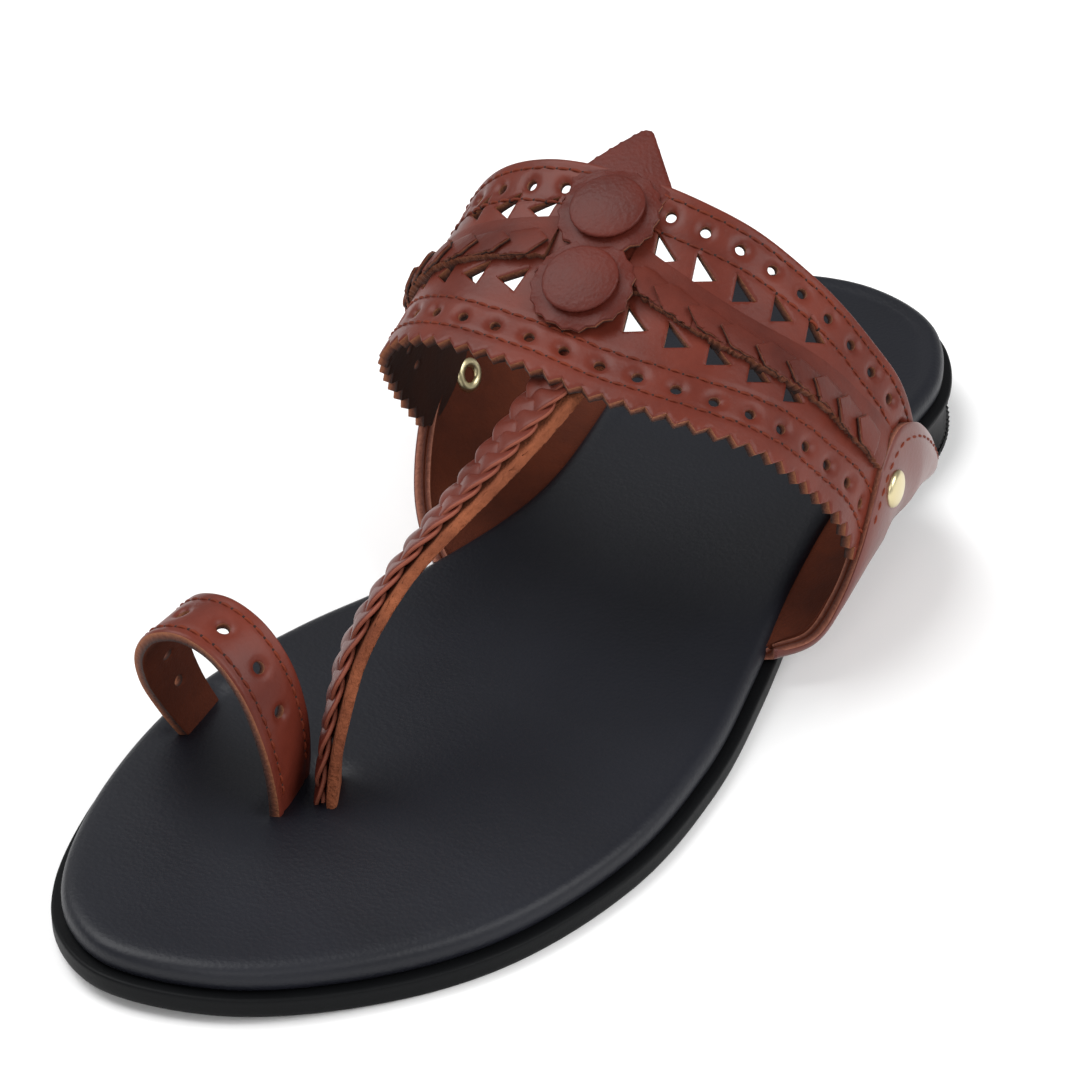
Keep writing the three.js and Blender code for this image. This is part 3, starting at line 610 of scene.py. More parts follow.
def band_surface(flat):
    """The band's upper face at flat pattern places: mm along it, and mm back from its front edge."""
    s = flat[:, 0] / BAND["length"]
    t = flat[:, 1] / band_width(s)
    point = band_front(s) * (1 - t)[:, None] + band_back(s) * t[:, None]
    crown = np.sin(np.pi * np.clip((s - 0.2) / 0.6, 0, 1)) ** 2
    point[:, 2] -= BAND["sag"] * crown * np.sin(np.pi * np.clip(t, 0, 1))
    return point


def normals_of(surface, flat, step=0.2):
    """Unit directions square to a surface at flat places, on the side of its own winding."""
    along = surface(flat + (step, 0)) - surface(flat - (step, 0))
    across = surface(flat + (0, step)) - surface(flat - (0, step))
    return unit(np.cross(along, across))


def two_faced(face_up, face_down, triangles, rims, flip, wall_levels=(0.3, 0.5, 0.72)):
    """Two faces joined by a wall round each rim: points, faces, material slots and depths."""
    count = len(face_up)
    points, depths = [face_up, face_down], [np.zeros(count), np.ones(count)]
    triangles = triangles if flip > 0 else triangles[:, ::-1]
    faces = triangles.tolist() + (triangles[:, ::-1] + count).tolist()
    slots = [0] * len(triangles) + [2] * len(triangles)
    start = 2 * count
    for rim in rims:
        levels = [rim]
        for share in wall_levels:
            points.append(face_up[rim] * (1 - share) + face_down[rim] * share)
            depths.append(np.full(len(rim), share))
            levels.append(np.arange(len(rim)) + start)
            start += len(rim)
        quads = bands_between(levels + [rim + count])
        faces += (quads[:, ::-1] if flip > 0 else quads).tolist()
        slots += [1] * len(quads)
    return np.vstack(points), faces, slots, np.concatenate(depths)


def leather_solid(name, surface, cut, wall, above, materials, lift=None, flip=1.0, edge_round=0.22):
    """A cut pattern laid on a surface and given its thickness. Materials: face, cut edge, back."""
    flat, triangles, rims = cut
    base = surface(flat)
    normal = normals_of(surface, flat) * flip
    raised = above + (lift(flat) if lift else np.zeros(len(flat)))
    rounding = edge_round * np.isin(np.arange(len(flat)), np.concatenate(rims))
    points, faces, slots, depths = two_faced(
        base + normal * (raised - rounding)[:, None],
        base + normal * (above - wall + rounding)[:, None], triangles, rims, flip)
    return mesh_piece(name, points, faces, materials, slots, 38, {"depth": depths})


def joined(forms):
    """Several forms, each (points, faces), as one."""
    points, faces, start = [], [], 0
    for form_points, form_faces in forms:
        points.append(form_points)
        faces += [[i + start for i in face] for face in form_faces]
        start += len(form_points)
    return np.vstack(points), faces


def leather(name, light, dark, roughness, grain_mm, relief, coat=0.0):
    """Finished leather: cloudy dye, a cell-like grain with fine hair pores, and an uneven polish."""
    material, tree, shader = new_material(name)
    place = add_node(tree, "ShaderNodeTexCoord").outputs["Object"]
    cell = add_node(
        tree, "ShaderNodeTexVoronoi", {"Vector": place, "Scale": 1000 / grain_mm}, feature="SMOOTH_F1")
    cloud = noise(tree, place, 14, 5.0)
    clouds = add_node(tree, "ShaderNodeMapRange", {"Value": cloud, "From Min": 0.32, "From Max": 0.68})
    blend = add_node(
        tree, "ShaderNodeMix",
        {"Factor": 0.35, "A": clouds, "B": noise(tree, place, 2.2, 3.0)}, data_type="FLOAT")
    skin = sum_of(tree, cell, noise(tree, place, 0.5, 4.0))
    two_tones(tree, shader, blend, dark, light)
    plug(tree, shader, {"Roughness": stretched(tree, blend, roughness - 0.07, roughness + 0.09)})
    relieved(tree, shader, skin, relief, 0.6)
    shader.inputs["Specular IOR Level"].default_value = 0.2
    shader.inputs["Coat Weight"].default_value = coat
    shader.inputs["Coat Roughness"].default_value = 0.3
    return material


def raw_edge(name, top, middle, bottom):
    """A cut edge of glued leather: pale fibres near the face, the glue line, the darker lining."""
    material, tree, shader = new_material(name)
    place = add_node(tree, "ShaderNodeTexCoord").outputs["Object"]
    depth = add_node(tree, "ShaderNodeAttribute", attribute_name="depth")
    fibre = noise(tree, place, 0.7, 4.0)
    level = sum_of(tree, depth.outputs["Fac"], stretched(tree, fibre, -0.22, 0.22))
    ramp = add_node(tree, "ShaderNodeValToRGB", {"Fac": level})
    stops = ramp.color_ramp.elements
    stops[0].position, stops[0].color = 0.08, hex_linear(top)
    stops[1].position, stops[1].color = 0.9, hex_linear(bottom)
    stops.new(0.5).color = hex_linear(middle)
    plug(tree, shader, {"Base Color": ramp})
    relieved(tree, shader, fibre, 0.4, 1.0)
    shader.inputs["Roughness"].default_value = 0.85
    return material


# Oiled cowhide dyed reddish brown and polished: satin, with a grain that shows close to.
hide = leather("polished_reddish_cowhide", "#6c2e21", "#511f16", 0.42, 0.9, 0.05, coat=0.05)
# The same hide where it is cut, and its dark lining.
cut_hide = raw_edge("raw_cut_cowhide", "#8e5638", "#5f3220", "#2c1610")
lining = leather("dark_brown_lining_split", "#34190f", "#20100b", 0.8, 1.0, 0.12)

band_ends = (BAND["end"] * BAND["length"], (1 - BAND["end"]) * BAND["length"])


def row_from(first, pitch, low, high):
    """Places along the band at a pitch, counted both ways from one of them."""
    back = np.arange(first, low, -pitch)[::-1]
    return np.concatenate([back, np.arange(first + pitch, high, pitch)])


tooth_x = row_from(TOOTH["first"] * BAND["length"], TOOTH["pitch"], band_ends[0] + 4, band_ends[1] - 4)
front_edge = [(band_ends[0], 0.0)]
for x in tooth_x:
    front_edge.append((x - TOOTH["pitch"] / 2, TOOTH["in"]))
    front_edge += [(x + dx, -TOOTH["out"] * (1 - (abs(dx) / 0.25) * 0.15)) for dx in (-0.25, 0.0, 0.25)]
front_edge += [(tooth_x[-1] + TOOTH["pitch"] / 2, TOOTH["in"]), (band_ends[1], 0.0)]


def finely(points, step=0.7):
    """The same open line with points no further apart than step."""
    result = []
    for a, b in zip(np.asarray(points[:-1], float), np.asarray(points[1:], float)):
        n = max(1, int(math.ceil(np.linalg.norm(b - a) / step)))
        result += [a + (b - a) * k / n for k in range(n)]
    return result + [np.asarray(points[-1], float)]


def closed_line(corners, step):
    """A closed outline through the corners, with points no further apart than step."""
    return np.array(finely(list(corners) + [corners[0]], step)[:-1])


def rectangle(length, width, step):
    return closed_line([(0.0, 0.0), (length, 0.0), (length, width), (0.0, width)], step)


def round_turn(count):
    """Angles once round a circle."""
    return np.linspace(0, 2 * np.pi, count, endpoint=False)


def punched(x, y, radius):
    """The outline of a round hole."""
    circle = round_turn(18)
    return np.column_stack([x + radius * np.cos(circle), y + radius * np.sin(circle)])


back_x = np.arange(band_ends[1], band_ends[0] - 0.01, -0.75)
back_edge = np.column_stack([back_x, band_width(back_x / BAND["length"])])
band_outline = np.vstack([finely(front_edge, 0.6), finely(
    [(band_ends[1], 0.0), tuple(back_edge[0])])[1:-1], back_edge, finely(
    [tuple(back_edge[-1]), (band_ends[0], 0.0)])[1:-1]])

punch_x = row_from(PUNCH["first"] * BAND["length"], PUNCH["pitch"], PUNCH["from"], PUNCH["to"])
punches = [(x, PUNCH["front"]) for x in punch_x]
punches += [(x + PUNCH["back_shift"], band_width(x / BAND["length"]) - PUNCH["back"]) for x in punch_x]
holes = [punched(x, y, PUNCH["radius"]) for x, y in punches]
triangle_places = []
for row in ("front_row", "back_row"):
    for k in range(5):
        for first, sense in ((CUTOUT["lateral_first"], 1), (CUTOUT["medial_first"], -1)):
            x = first * BAND["length"] + sense * k * CUTOUT["pitch"]
            triangle_places.append((x, CUTOUT[row][0] - k * CUTOUT[row][1], sense))
for x, y, sense in triangle_places:
    holes.append(closed_line([(x + sense * dx, y + dy) for dx, dy in TRIANGLE][::sense], 0.5))


def band_relief(flat):
    """Punching draws the leather down round each hole, and each seam pulls a shallow furrow."""
    lift = np.zeros(len(flat))
    for x, y in punches:
        away = np.hypot(flat[:, 0] - x, flat[:, 1] - y)
        lift -= PUNCH["dish"] * bell(away - PUNCH["radius"], 0.9)
    width = band_width(flat[:, 0] / BAND["length"])
    for y in SEAM["front"]:
        lift -= SEAM["furrow"] * bell(flat[:, 1] - y, 0.55)
    for y in SEAM["back"]:
        lift -= SEAM["furrow"] * bell(flat[:, 1] - width + y, 0.55)
    return lift


band_cut = cut_flat(band_outline, holes, step=0.62, bevel=0.3)
band = leather_solid("instep_band", band_surface, band_cut, BAND["wall"], BAND["above"],
                     [hide, cut_hide, lining], band_relief)
stands_for(band, "upper")

# Seams: a waxed thread sunk at each end of every stitch, with a dark needle hole between stitches.
seam_tree, seam_in, seam_out = new_tree("hand_seam", [
    ("Stitch length", "Float"), ("Thread radius", "Float"), ("Rise", "Float"), ("Hole radius", "Float"),
    ("Slant", "Float"), ("Seed", "Int"), ("Thread", "Material"), ("Hole", "Material")])
length, radius = seam_in.outputs["Stitch length"], seam_in.outputs["Thread radius"]


def seam_node(kind, inputs=(), **settings):
    return add_node(seam_tree, kind, inputs, **settings)


def times(value, factor):
    return seam_node("ShaderNodeMath", {0: value, 1: factor}, operation="MULTIPLY")


along = seam_node("GeometryNodeInputNamedAttribute", {"Name": "along"}, data_type="FLOAT_VECTOR")
out = seam_node("GeometryNodeInputNamedAttribute", {"Name": "out"}, data_type="FLOAT_VECTOR")
turned_to = seam_node(
    "FunctionNodeAxesToRotation", {"Primary Axis": along, "Secondary Axis": out},
    primary_axis="X", secondary_axis="Z")
sunk = times(radius, -1.4)
start_at = seam_node("ShaderNodeCombineXYZ", {"X": times(length, -0.5), "Z": sunk})
top_at = seam_node("ShaderNodeCombineXYZ", {"Z": seam_in.outputs["Rise"]})
end_at = seam_node("ShaderNodeCombineXYZ", {"X": times(length, 0.5), "Z": sunk})
arc = seam_node(
    "GeometryNodeCurveQuadraticBezier",
    {"Resolution": 6, "Start": start_at, "Middle": top_at, "End": end_at})
ring = seam_node("GeometryNodeCurvePrimitiveCircle", {"Resolution": 6, "Radius": radius})
stitch = seam_node(
    "GeometryNodeCurveToMesh", {"Curve": arc, "Profile Curve": ring, "Fill Caps": True})
stitch_paint = seam_node(
    "GeometryNodeSetMaterial", {"Geometry": stitch, "Material": seam_in.outputs["Thread"]})
pit = seam_node(
    "GeometryNodeMeshIcoSphere", {"Radius": seam_in.outputs["Hole radius"], "Subdivisions": 2})
pit_flat = seam_node(
    "GeometryNodeTransform", {"Geometry": pit, "Translation": start_at, "Scale": (1.0, 0.8, 0.9)})
pit_paint = seam_node(
    "GeometryNodeSetMaterial", {"Geometry": pit_flat, "Material": seam_in.outputs["Hole"]})
one_stitch = seam_node("GeometryNodeJoinGeometry")
for part in (stitch_paint, pit_paint):
    plug(seam_tree, one_stitch, {"Geometry": part})
slant = seam_in.outputs["Slant"]
wobble = seam_node(
    "FunctionNodeRandomValue", {"Min": times(slant, -1.0), "Max": slant, "Seed": seam_in.outputs["Seed"]},
    data_type="FLOAT")
twist = seam_node("FunctionNodeAxisAngleToRotation", {"Axis": (0.0, 0.0, 1.0), "Angle": wobble})
facing = seam_node(
    "FunctionNodeRotateRotation", {"Rotation": turned_to, "Rotate By": twist}, rotation_space="LOCAL")
copies = seam_node(
    "GeometryNodeInstanceOnPoints", {"Points": seam_in, "Instance": one_stitch, "Rotation": facing})
real = seam_node("GeometryNodeRealizeInstances", {"Geometry": copies})
plug(seam_tree, seam_out, {"Geometry": real})

# Waxed linen thread, rust red, and the black of a needle hole.
thread_rust = leather("waxed_rust_thread", "#76301a", "#4e1b0d", 0.65, 0.4, 0.05)
needle_hole, _, hole_shader = new_material("needle_hole_shadow")
hole_shader.inputs["Base Color"].default_value = hex_linear("#1f0d09")
hole_shader.inputs["Roughness"].default_value = 0.95


def sew(name, surface, lines, lift, node, seed, flip=1.0, pitch=SEAM["pitch"]):
    """Sews seams along flat lines on a surface: each line is an array of flat places."""
    at, runs, normals = [], [], []
    for line in lines:
        length = length_so_far(surface(line))
        where = np.arange(pitch, length[-1] - pitch * 0.5, pitch)
        flat = walk(where, length, line)
        normal = normals_of(surface, flat) * flip
        spots = surface(flat)
        at.append(spots + normal * lift)
        runs.append(unit(surface(walk(where + 0.3, length, line)) - spots))
        normals.append(normal)
    places = seed_mesh(
        name + "_places", np.vstack(at), (), {"along": np.vstack(runs), "out": np.vstack(normals)})
    seam = grown(seam_tree, {
        "Stitch length": (pitch - SEAM["gap"]) * MM, "Thread radius": SEAM["thread"] * MM,
        "Rise": SEAM["rise"] * MM, "Hole radius": SEAM["hole"] * MM, "Slant": SEAM["slant"],
        "Seed": seed, "Thread": thread_rust, "Hole": needle_hole}, places, name)
    seam.data.polygons.foreach_set("use_smooth", np.ones(len(seam.data.polygons), bool))
    stands_for(seam, node)


seam_x = np.arange(band_ends[0] + 6, band_ends[1] - 6, 1.0)
seam_width = band_width(seam_x / BAND["length"])
band_seams = [np.column_stack([seam_x, np.full(len(seam_x), y)]) for y in SEAM["front"]]
band_seams += [np.column_stack([seam_x, seam_width - y]) for y in SEAM["back"]]
sew("band_seams", band_surface, band_seams, BAND["above"] - 0.1, "upper", 11)


# ---------------- side ears
# A rounded panel on each side rises out of a slot above the outsole and holds the band's end:
# an outer leather and a lining, sewn together round the rim.
EAR = {"leave_out": 15.0, "shoulder_out": 3.5, "shoulder_drop": 13.0, "base_start": 133.5,
       "base_end": 199.0, "medial_lead": 4.5, "wall": 2.8, "tuck": 5.0, "seam_in": 2.6,
       "outer_wall": 1.4, "lining_wall": 1.3, "splay": 0.5}
EAR_RIM = {
    "lateral": [
        (39.8, 134.6, 8.6), (44.8, 139.2, 10.6), (47.0, 144.4, 16.6), (47.8, 149.6, 24.2),
        (47.4, 154.6, 31.4), (46.4, 160.2, 37.6), (45.8, 166.8, 40.6), (45.8, 173.6, 38.2),
        (45.4, 180.6, 31.2), (43.8, 187.6, 22.2), (39.6, 194.8, 15.0), (34.6, 199.6, 12.2)],
    "medial": [
        (-27.2, 127.4, 8.4), (-32.4, 131.6, 10.2), (-36.6, 136.0, 13.8), (-39.6, 140.8, 18.8),
        (-41.6, 146.0, 25.0), (-43.0, 152.0, 30.6), (-43.7, 158.8, 34.8), (-43.6, 166.0, 36.6),
        (-43.0, 173.0, 35.2), (-42.2, 180.0, 30.6), (-40.4, 187.4, 23.4), (-36.4, 194.0, 16.0),
        (-30.8, 198.6, 12.4)],
}
edge_sides = {}
for side_name, order in (("lateral", 1), ("medial", -1)):
    ring_here = outline_ring if order > 0 else outline_ring[::-1]
    first = ring_here[:, 1].argmin()
    ring_here = np.roll(ring_here, -first, 0)
    edge_sides[side_name] = ring_here[:ring_here[:, 1].argmax() + 1]


def edge_x(side_name, y):
    side = edge_sides[side_name]
    return np.interp(y, side[:, 1], side[:, 0])


def ear_surface(side_name):
    """The ear's middle surface at flat places, mm along the rim and mm up from the slot."""
    sign = 1 if side_name == "lateral" else -1
    rim = curve_through(EAR_RIM[side_name])
    start = EAR["base_start"] - (EAR["medial_lead"] if sign < 0 else 0)

    def at(flat):
        u, v = flat[:, 0] / EAR_FLAT[0], flat[:, 1] / EAR_FLAT[1]
        u, v = np.clip(u, 0, 1), np.clip(v, 0, 1)[:, None]
        y = start + (EAR["base_end"] - start) * u
        slope = (edge_x(side_name, y + 2) - edge_x(side_name, y - 2)) / 4
        outward = unit(np.stack([np.full(len(u), float(sign)), -sign * slope, np.zeros(len(u))], -1))
        slot_z = outsole_top(y) + EAR["wall"] / 2
        root = np.stack([edge_x(side_name, y), y, slot_z], -1) - EAR["tuck"] * outward
        top = rim(u)
        reach = np.minimum(1, np.linalg.norm(root - top, axis=-1) / 30)[:, None]
        leave = root + outward * (EAR["leave_out"] * reach + 2)
        shoulder = top + outward * EAR["shoulder_out"] * reach * smooth(0.05, 0.45, u)[:, None]
        shoulder[:, 2] = top[:, 2] - EAR["shoulder_drop"] * reach[:, 0] * (top[:, 2] - slot_z) / 27
        w = 1 - v
        return root * w**3 + leave * 3 * w * w * v + shoulder * 3 * w * v * v + top * v**3
    return at


EAR_FLAT = (72.0, 36.0)
# Glossier outer hide, reddish brown with a mauve cast that is a painted sheen of the white surroundings,
# the lining's dull suede side, and the pinkish raw rim.
ear_hide = leather("glazed_brown_cowhide_painted_mauve_sheen", "#69352d", "#522620", 0.32, 0.9, 0.04, coat=0.25)
suede = leather("brown_flesh_side", "#5c2a18", "#3f1a0e", 0.92, 0.6, 0.2)
rim_hide = raw_edge("raw_ear_rim", "#9c6450", "#74402f", "#4e2418")
ear_outline = rectangle(EAR_FLAT[0], EAR_FLAT[1], 0.8)
ear_cut = cut_flat(ear_outline, (), step=1.0, bevel=0.3)
ear_sides = {}


def splay(flat):
    """The outer leather stands off where it passes over the band's end."""
    return EAR["splay"] * smooth(0.35, 0.75, flat[:, 1] / EAR_FLAT[1])


for side_name, sign in (("lateral", 1.0), ("medial", -1.0)):
    surface = ear_surface(side_name)
    middle = normals_of(surface, np.array([EAR_FLAT]) / 2)[0]
    flip = 1.0 if middle[0] * sign > 0 else -1.0
    ear_sides[side_name] = (surface, flip)
    outer = leather_solid("ear_outer_" + side_name, surface, ear_cut, EAR["outer_wall"],
                          EAR["wall"] / 2, [ear_hide, rim_hide, suede], splay, flip, 0.2)
    inner = leather_solid("ear_lining_" + side_name, surface, ear_cut, EAR["lining_wall"],
                          EAR["wall"] / 2, [suede, rim_hide, suede], None, -flip, 0.2)
    for panel in (outer, inner):
        stands_for(panel, "upper")
    rim_line = np.column_stack([np.linspace(2.5, EAR_FLAT[0] - 2.5, 120),
                                np.full(120, EAR_FLAT[1] - EAR["seam_in"])])
    sew("ear_seam_" + side_name, surface, [rim_line[35:]], 1.8, "upper", 21, flip)


# ---------------- thong
# Three flat strands of the same hide plaited together and laid on a raw-edged backing strap.
# It rises beside the toe loop, turns its face up as it climbs, and passes under the band.
THONG = [
    (-7.2, 57.4, 6.6, -0.86, -0.46, 0.1), (-7.0, 58.0, 14.0, -0.86, -0.46, 0.15),
    (-6.8, 60.6, 23.0, -0.84, -0.44, 0.25), (-6.8, 66.0, 32.6, -0.78, -0.4, 0.4),
    (-5.6, 74.4, 40.2, -0.75, -0.28, 0.52), (-3.4, 85.0, 46.6, -0.74, -0.2, 0.58),
    (-0.9, 96.6, 52.2, -0.66, -0.2, 0.66), (1.2, 108.4, 57.6, -0.5, -0.28, 0.78),
    (2.6, 119.0, 62.4, -0.3, -0.4, 0.86), (3.0, 128.0, 66.2, -0.15, -0.42, 0.9),
]
PLAIT = {"period": 15.6, "sway": 2.1, "heave": 0.62, "width": 5.4, "thick": 1.1, "lift": 0.6}
BACKING = {"width": 10.4, "thick": 2.1, "drop": 1.6, "shift": 0.8, "torn": 0.16, "corners": 32}
thong_line = curve_through([p[:3] for p in THONG])
thong_face = curve_through([[c * 40 for c in p[3:]] for p in THONG])
THONG_LENGTH = spline([p[:3] for p in THONG])[1][-1]


def thong_frame(u):
    """Centre, run, face and across directions of the thong at shares of its length."""
    centre = thong_line(u)
    run = unit(thong_line(np.minimum(u + 0.01, 1)) - thong_line(np.maximum(u - 0.01, 0)))
    face = unit(thong_face(u))
    face = unit(face - run * (face * run).sum(-1, keepdims=True))
    return centre, run, face, np.cross(run, face)


def swept(path, run, face, width, thick, corners=14, square=2.6):
    """Sweeps a soft-cornered flat section along a path: (points, faces)."""
    across = unit(np.cross(run, face))
    face = np.cross(across, run)
    angle = round_turn(corners)
    cx = np.sign(np.cos(angle)) * np.abs(np.cos(angle)) ** (2 / square) * width / 2
    cy = np.sign(np.sin(angle)) * np.abs(np.sin(angle)) ** (2 / square) * thick / 2
    points = path[:, None] + cx[None, :, None] * across[:, None] + cy[None, :, None] * face[:, None]
    numbers = [np.arange(corners) + k * corners for k in range(len(path))]
    faces = bands_between(numbers)[:, ::-1].tolist()
    faces += [numbers[0].tolist(), numbers[-1][::-1].tolist()]
    return points.reshape(-1, 3), faces


strands, strand_slots = [], []
u = np.linspace(0.0, 1.0, 260)
centre, run, face, across = thong_frame(u)
for k in range(3):
    phase = 2 * np.pi * (u * THONG_LENGTH / PLAIT["period"] + k / 3)
    path = (centre + across * (PLAIT["sway"] * np.sin(phase))[:, None]
            + face * (PLAIT["lift"] + PLAIT["heave"] * np.sin(2 * phase))[:, None])
    run_here = unit(np.gradient(path, axis=0))
    strands.append(
        swept(path, run_here, face, PLAIT["width"], PLAIT["thick"], corners=16, square=3.4))
    strand_slots += [1 if i % 16 in (15, 0, 7, 8) else 0 for i in range(len(strands[-1][1]) - 2)] + [1, 1]
# The strands' polished hide, and their cut edges, which show pinkish along the plait.
plait_hide = leather("plaited_reddish_cowhide", "#6d3226", "#4e2018", 0.42, 0.9, 0.05, coat=0.05)
strand_edge = leather("pinkish_strand_edge", "#8f5240", "#713a2b", 0.7, 0.5, 0.1)
plait = mesh_piece("thong_plait", *joined(strands), [plait_hide, strand_edge], strand_slots, sharp_deg=60)
stands_for(plait, "upper")

u = np.linspace(0.0, 1.0, 160)
centre, run, face, across = thong_frame(u)
backing_path = centre - face * BACKING["drop"] + across * BACKING["shift"]
points, faces = swept(backing_path, run, face, BACKING["width"], BACKING["thick"],
                      BACKING["corners"], square=5)
rng = np.random.default_rng(8)
torn = rng.normal(0, BACKING["torn"], (len(u), BACKING["corners"]))
torn *= np.abs(np.sin(np.linspace(0, 2 * np.pi, BACKING["corners"]))) < 0.9
points = points + torn.reshape(-1, 1) * np.repeat(across, BACKING["corners"], 0)
# The backing's cut edge: torn pale fibres.
fibrous = leather("torn_pale_leather_edge", "#9a5a3c", "#54281a", 0.95, 0.5, 0.35)
backing = mesh_piece("thong_backing", points, faces, [fibrous], sharp_deg=60)
stands_for(backing, "upper")


# ---------------- toe loop
# A strap bent into a hoop for the big toe, both legs let into slots in the footbed and glued:
# two seams and a row of punched holes, raw edges pale.
LOOP_FRONT = [
    (-37.6, 59.0, 5.4), (-39.3, 54.0, 15.0), (-39.7, 49.4, 24.6), (-37.4, 45.8, 33.9),
    (-32.6, 44.2, 40.4), (-26.8, 44.2, 42.4), (-20.7, 44.7, 40.2), (-15.0, 45.1, 33.8),
    (-11.0, 45.5, 23.8), (-9.6, 46.3, 14.0), (-9.8, 47.2, 5.4),
]
LOOP_BACK = [
    (-39.6, 70.4, 5.6), (-41.3, 67.0, 15.0), (-41.2, 63.7, 25.0), (-37.3, 60.2, 34.8),
    (-31.0, 57.8, 41.2), (-24.2, 56.8, 43.0), (-17.8, 56.5, 40.7), (-13.0, 57.0, 34.1),
    (-11.0, 58.2, 24.0), (-11.6, 59.6, 14.0), (-13.2, 60.6, 5.4),
]
LOOP = {"length": 96.0, "width": 12.8, "wall": 2.2, "above": 0.4, "seam_in": 2.0, "hole_pitch": 9.6,
        "hole_radius": 1.25, "first_hole": 43.8, "hole_dent": 0.35, "furrow": 0.2}
loop_front = curve_through(LOOP_FRONT)
loop_back = curve_through(LOOP_BACK)


def loop_surface(flat):
    u, v = flat[:, 0] / LOOP["length"], (flat[:, 1] / LOOP["width"])[:, None]
    return loop_front(u) * (1 - v) + loop_back(u) * v


loop_outline = rectangle(LOOP["length"], LOOP["width"], 0.6)
loop_holes_x = LOOP["first_hole"] + LOOP["hole_pitch"] * np.arange(-3, 4)
loop_holes = [punched(x, LOOP["width"] / 2, LOOP["hole_radius"]) for x in loop_holes_x]
loop_seams_y = (LOOP["seam_in"], LOOP["width"] - LOOP["seam_in"])


def loop_relief(flat):
    """The loop's leather drawn down round its holes and along its seams."""
    lift = np.zeros(len(flat))
    for x in loop_holes_x:
        away = np.hypot(flat[:, 0] - x, flat[:, 1] - LOOP["width"] / 2)
        lift -= LOOP["hole_dent"] * bell(away - LOOP["hole_radius"], 0.7)
    for y in loop_seams_y:
        lift -= LOOP["furrow"] * bell(flat[:, 1] - y, 0.5)
    return lift


loop_cut = cut_flat(loop_outline, loop_holes, step=0.6, bevel=0.3)
toe_loop = leather_solid("toe_loop_strap", loop_surface, loop_cut, LOOP["wall"], LOOP["above"],
                         [hide, cut_hide, suede], loop_relief)
stands_for(toe_loop, "toe_loop")
loop_x = np.linspace(6, LOOP["length"] - 6, 120)
sew("toe_loop_seams", loop_surface, [np.column_stack([loop_x, np.full(120, y)]) for y in loop_seams_y],
    LOOP["above"] - 0.1, "toe_loop", 31, pitch=2.5)


# ---------------- slit-braid strips
# A narrow strip slit into leaves that are folded through one another, so that each leaf's point
# lies over the one before. Its front edge is left raw and frayed and stands off the band.
STRIP = {"middle": 0.487, "dip_from": 0.233, "dip_t": 0.535, "bend": 3.1, "width": 9.0,
         "leaf_pitch": 6.5, "leaf_length": 8.6, "leaf_thick": 0.8, "low": 0.35, "rise": 1.25,
         "tip_lift": 1.25, "back_fold": 1.0, "wall": 1.3}
STRIPS = {"medial": (0.448, 0.155), "lateral": (0.532, 0.885)}


def strip_centre(s):
    """How far back from the band's front edge the strip's middle line runs."""
    away = np.abs(s - STRIP["middle"]) - STRIP["dip_from"]
    drift = -1.4 * bell(s - 0.66, 0.08) - 1.0 * smooth(0.78, 0.88, s)
    return (STRIP["dip_t"] + STRIP["bend"] * away**2) * band_width(s) + drift


def strip_rise(across):
    """Height of the folded strip over the band: low at its back edge, high at its raw front edge."""
    half = STRIP["width"] / 2
    return STRIP["low"] + STRIP["rise"] * smooth(half, 1.0 - half, across)


def leaf_outline():
    """One leaf's free end: its point near the raw edge, a short back flank and a long front one."""
    half = STRIP["width"] / 2
    back_flank = [(0.0, -half + 2.7), (3.1, -half + 5.8), (4.6, -half + 6.7)]
    tail = [(STRIP["leaf_length"], -half + 6.8), (STRIP["leaf_length"], -half - 0.1)]
    front_flank = [(3.2, -half - 0.2), (2.4, -half + 0.3)]
    return back_flank + tail + front_flank


def frayed_line(low, high, across, rng):
    """A torn edge: an uneven line from low to high along the strip."""
    x = np.arange(low, high, 0.45)
    return np.column_stack([x, across + rng.normal(0, 0.22, len(x))])


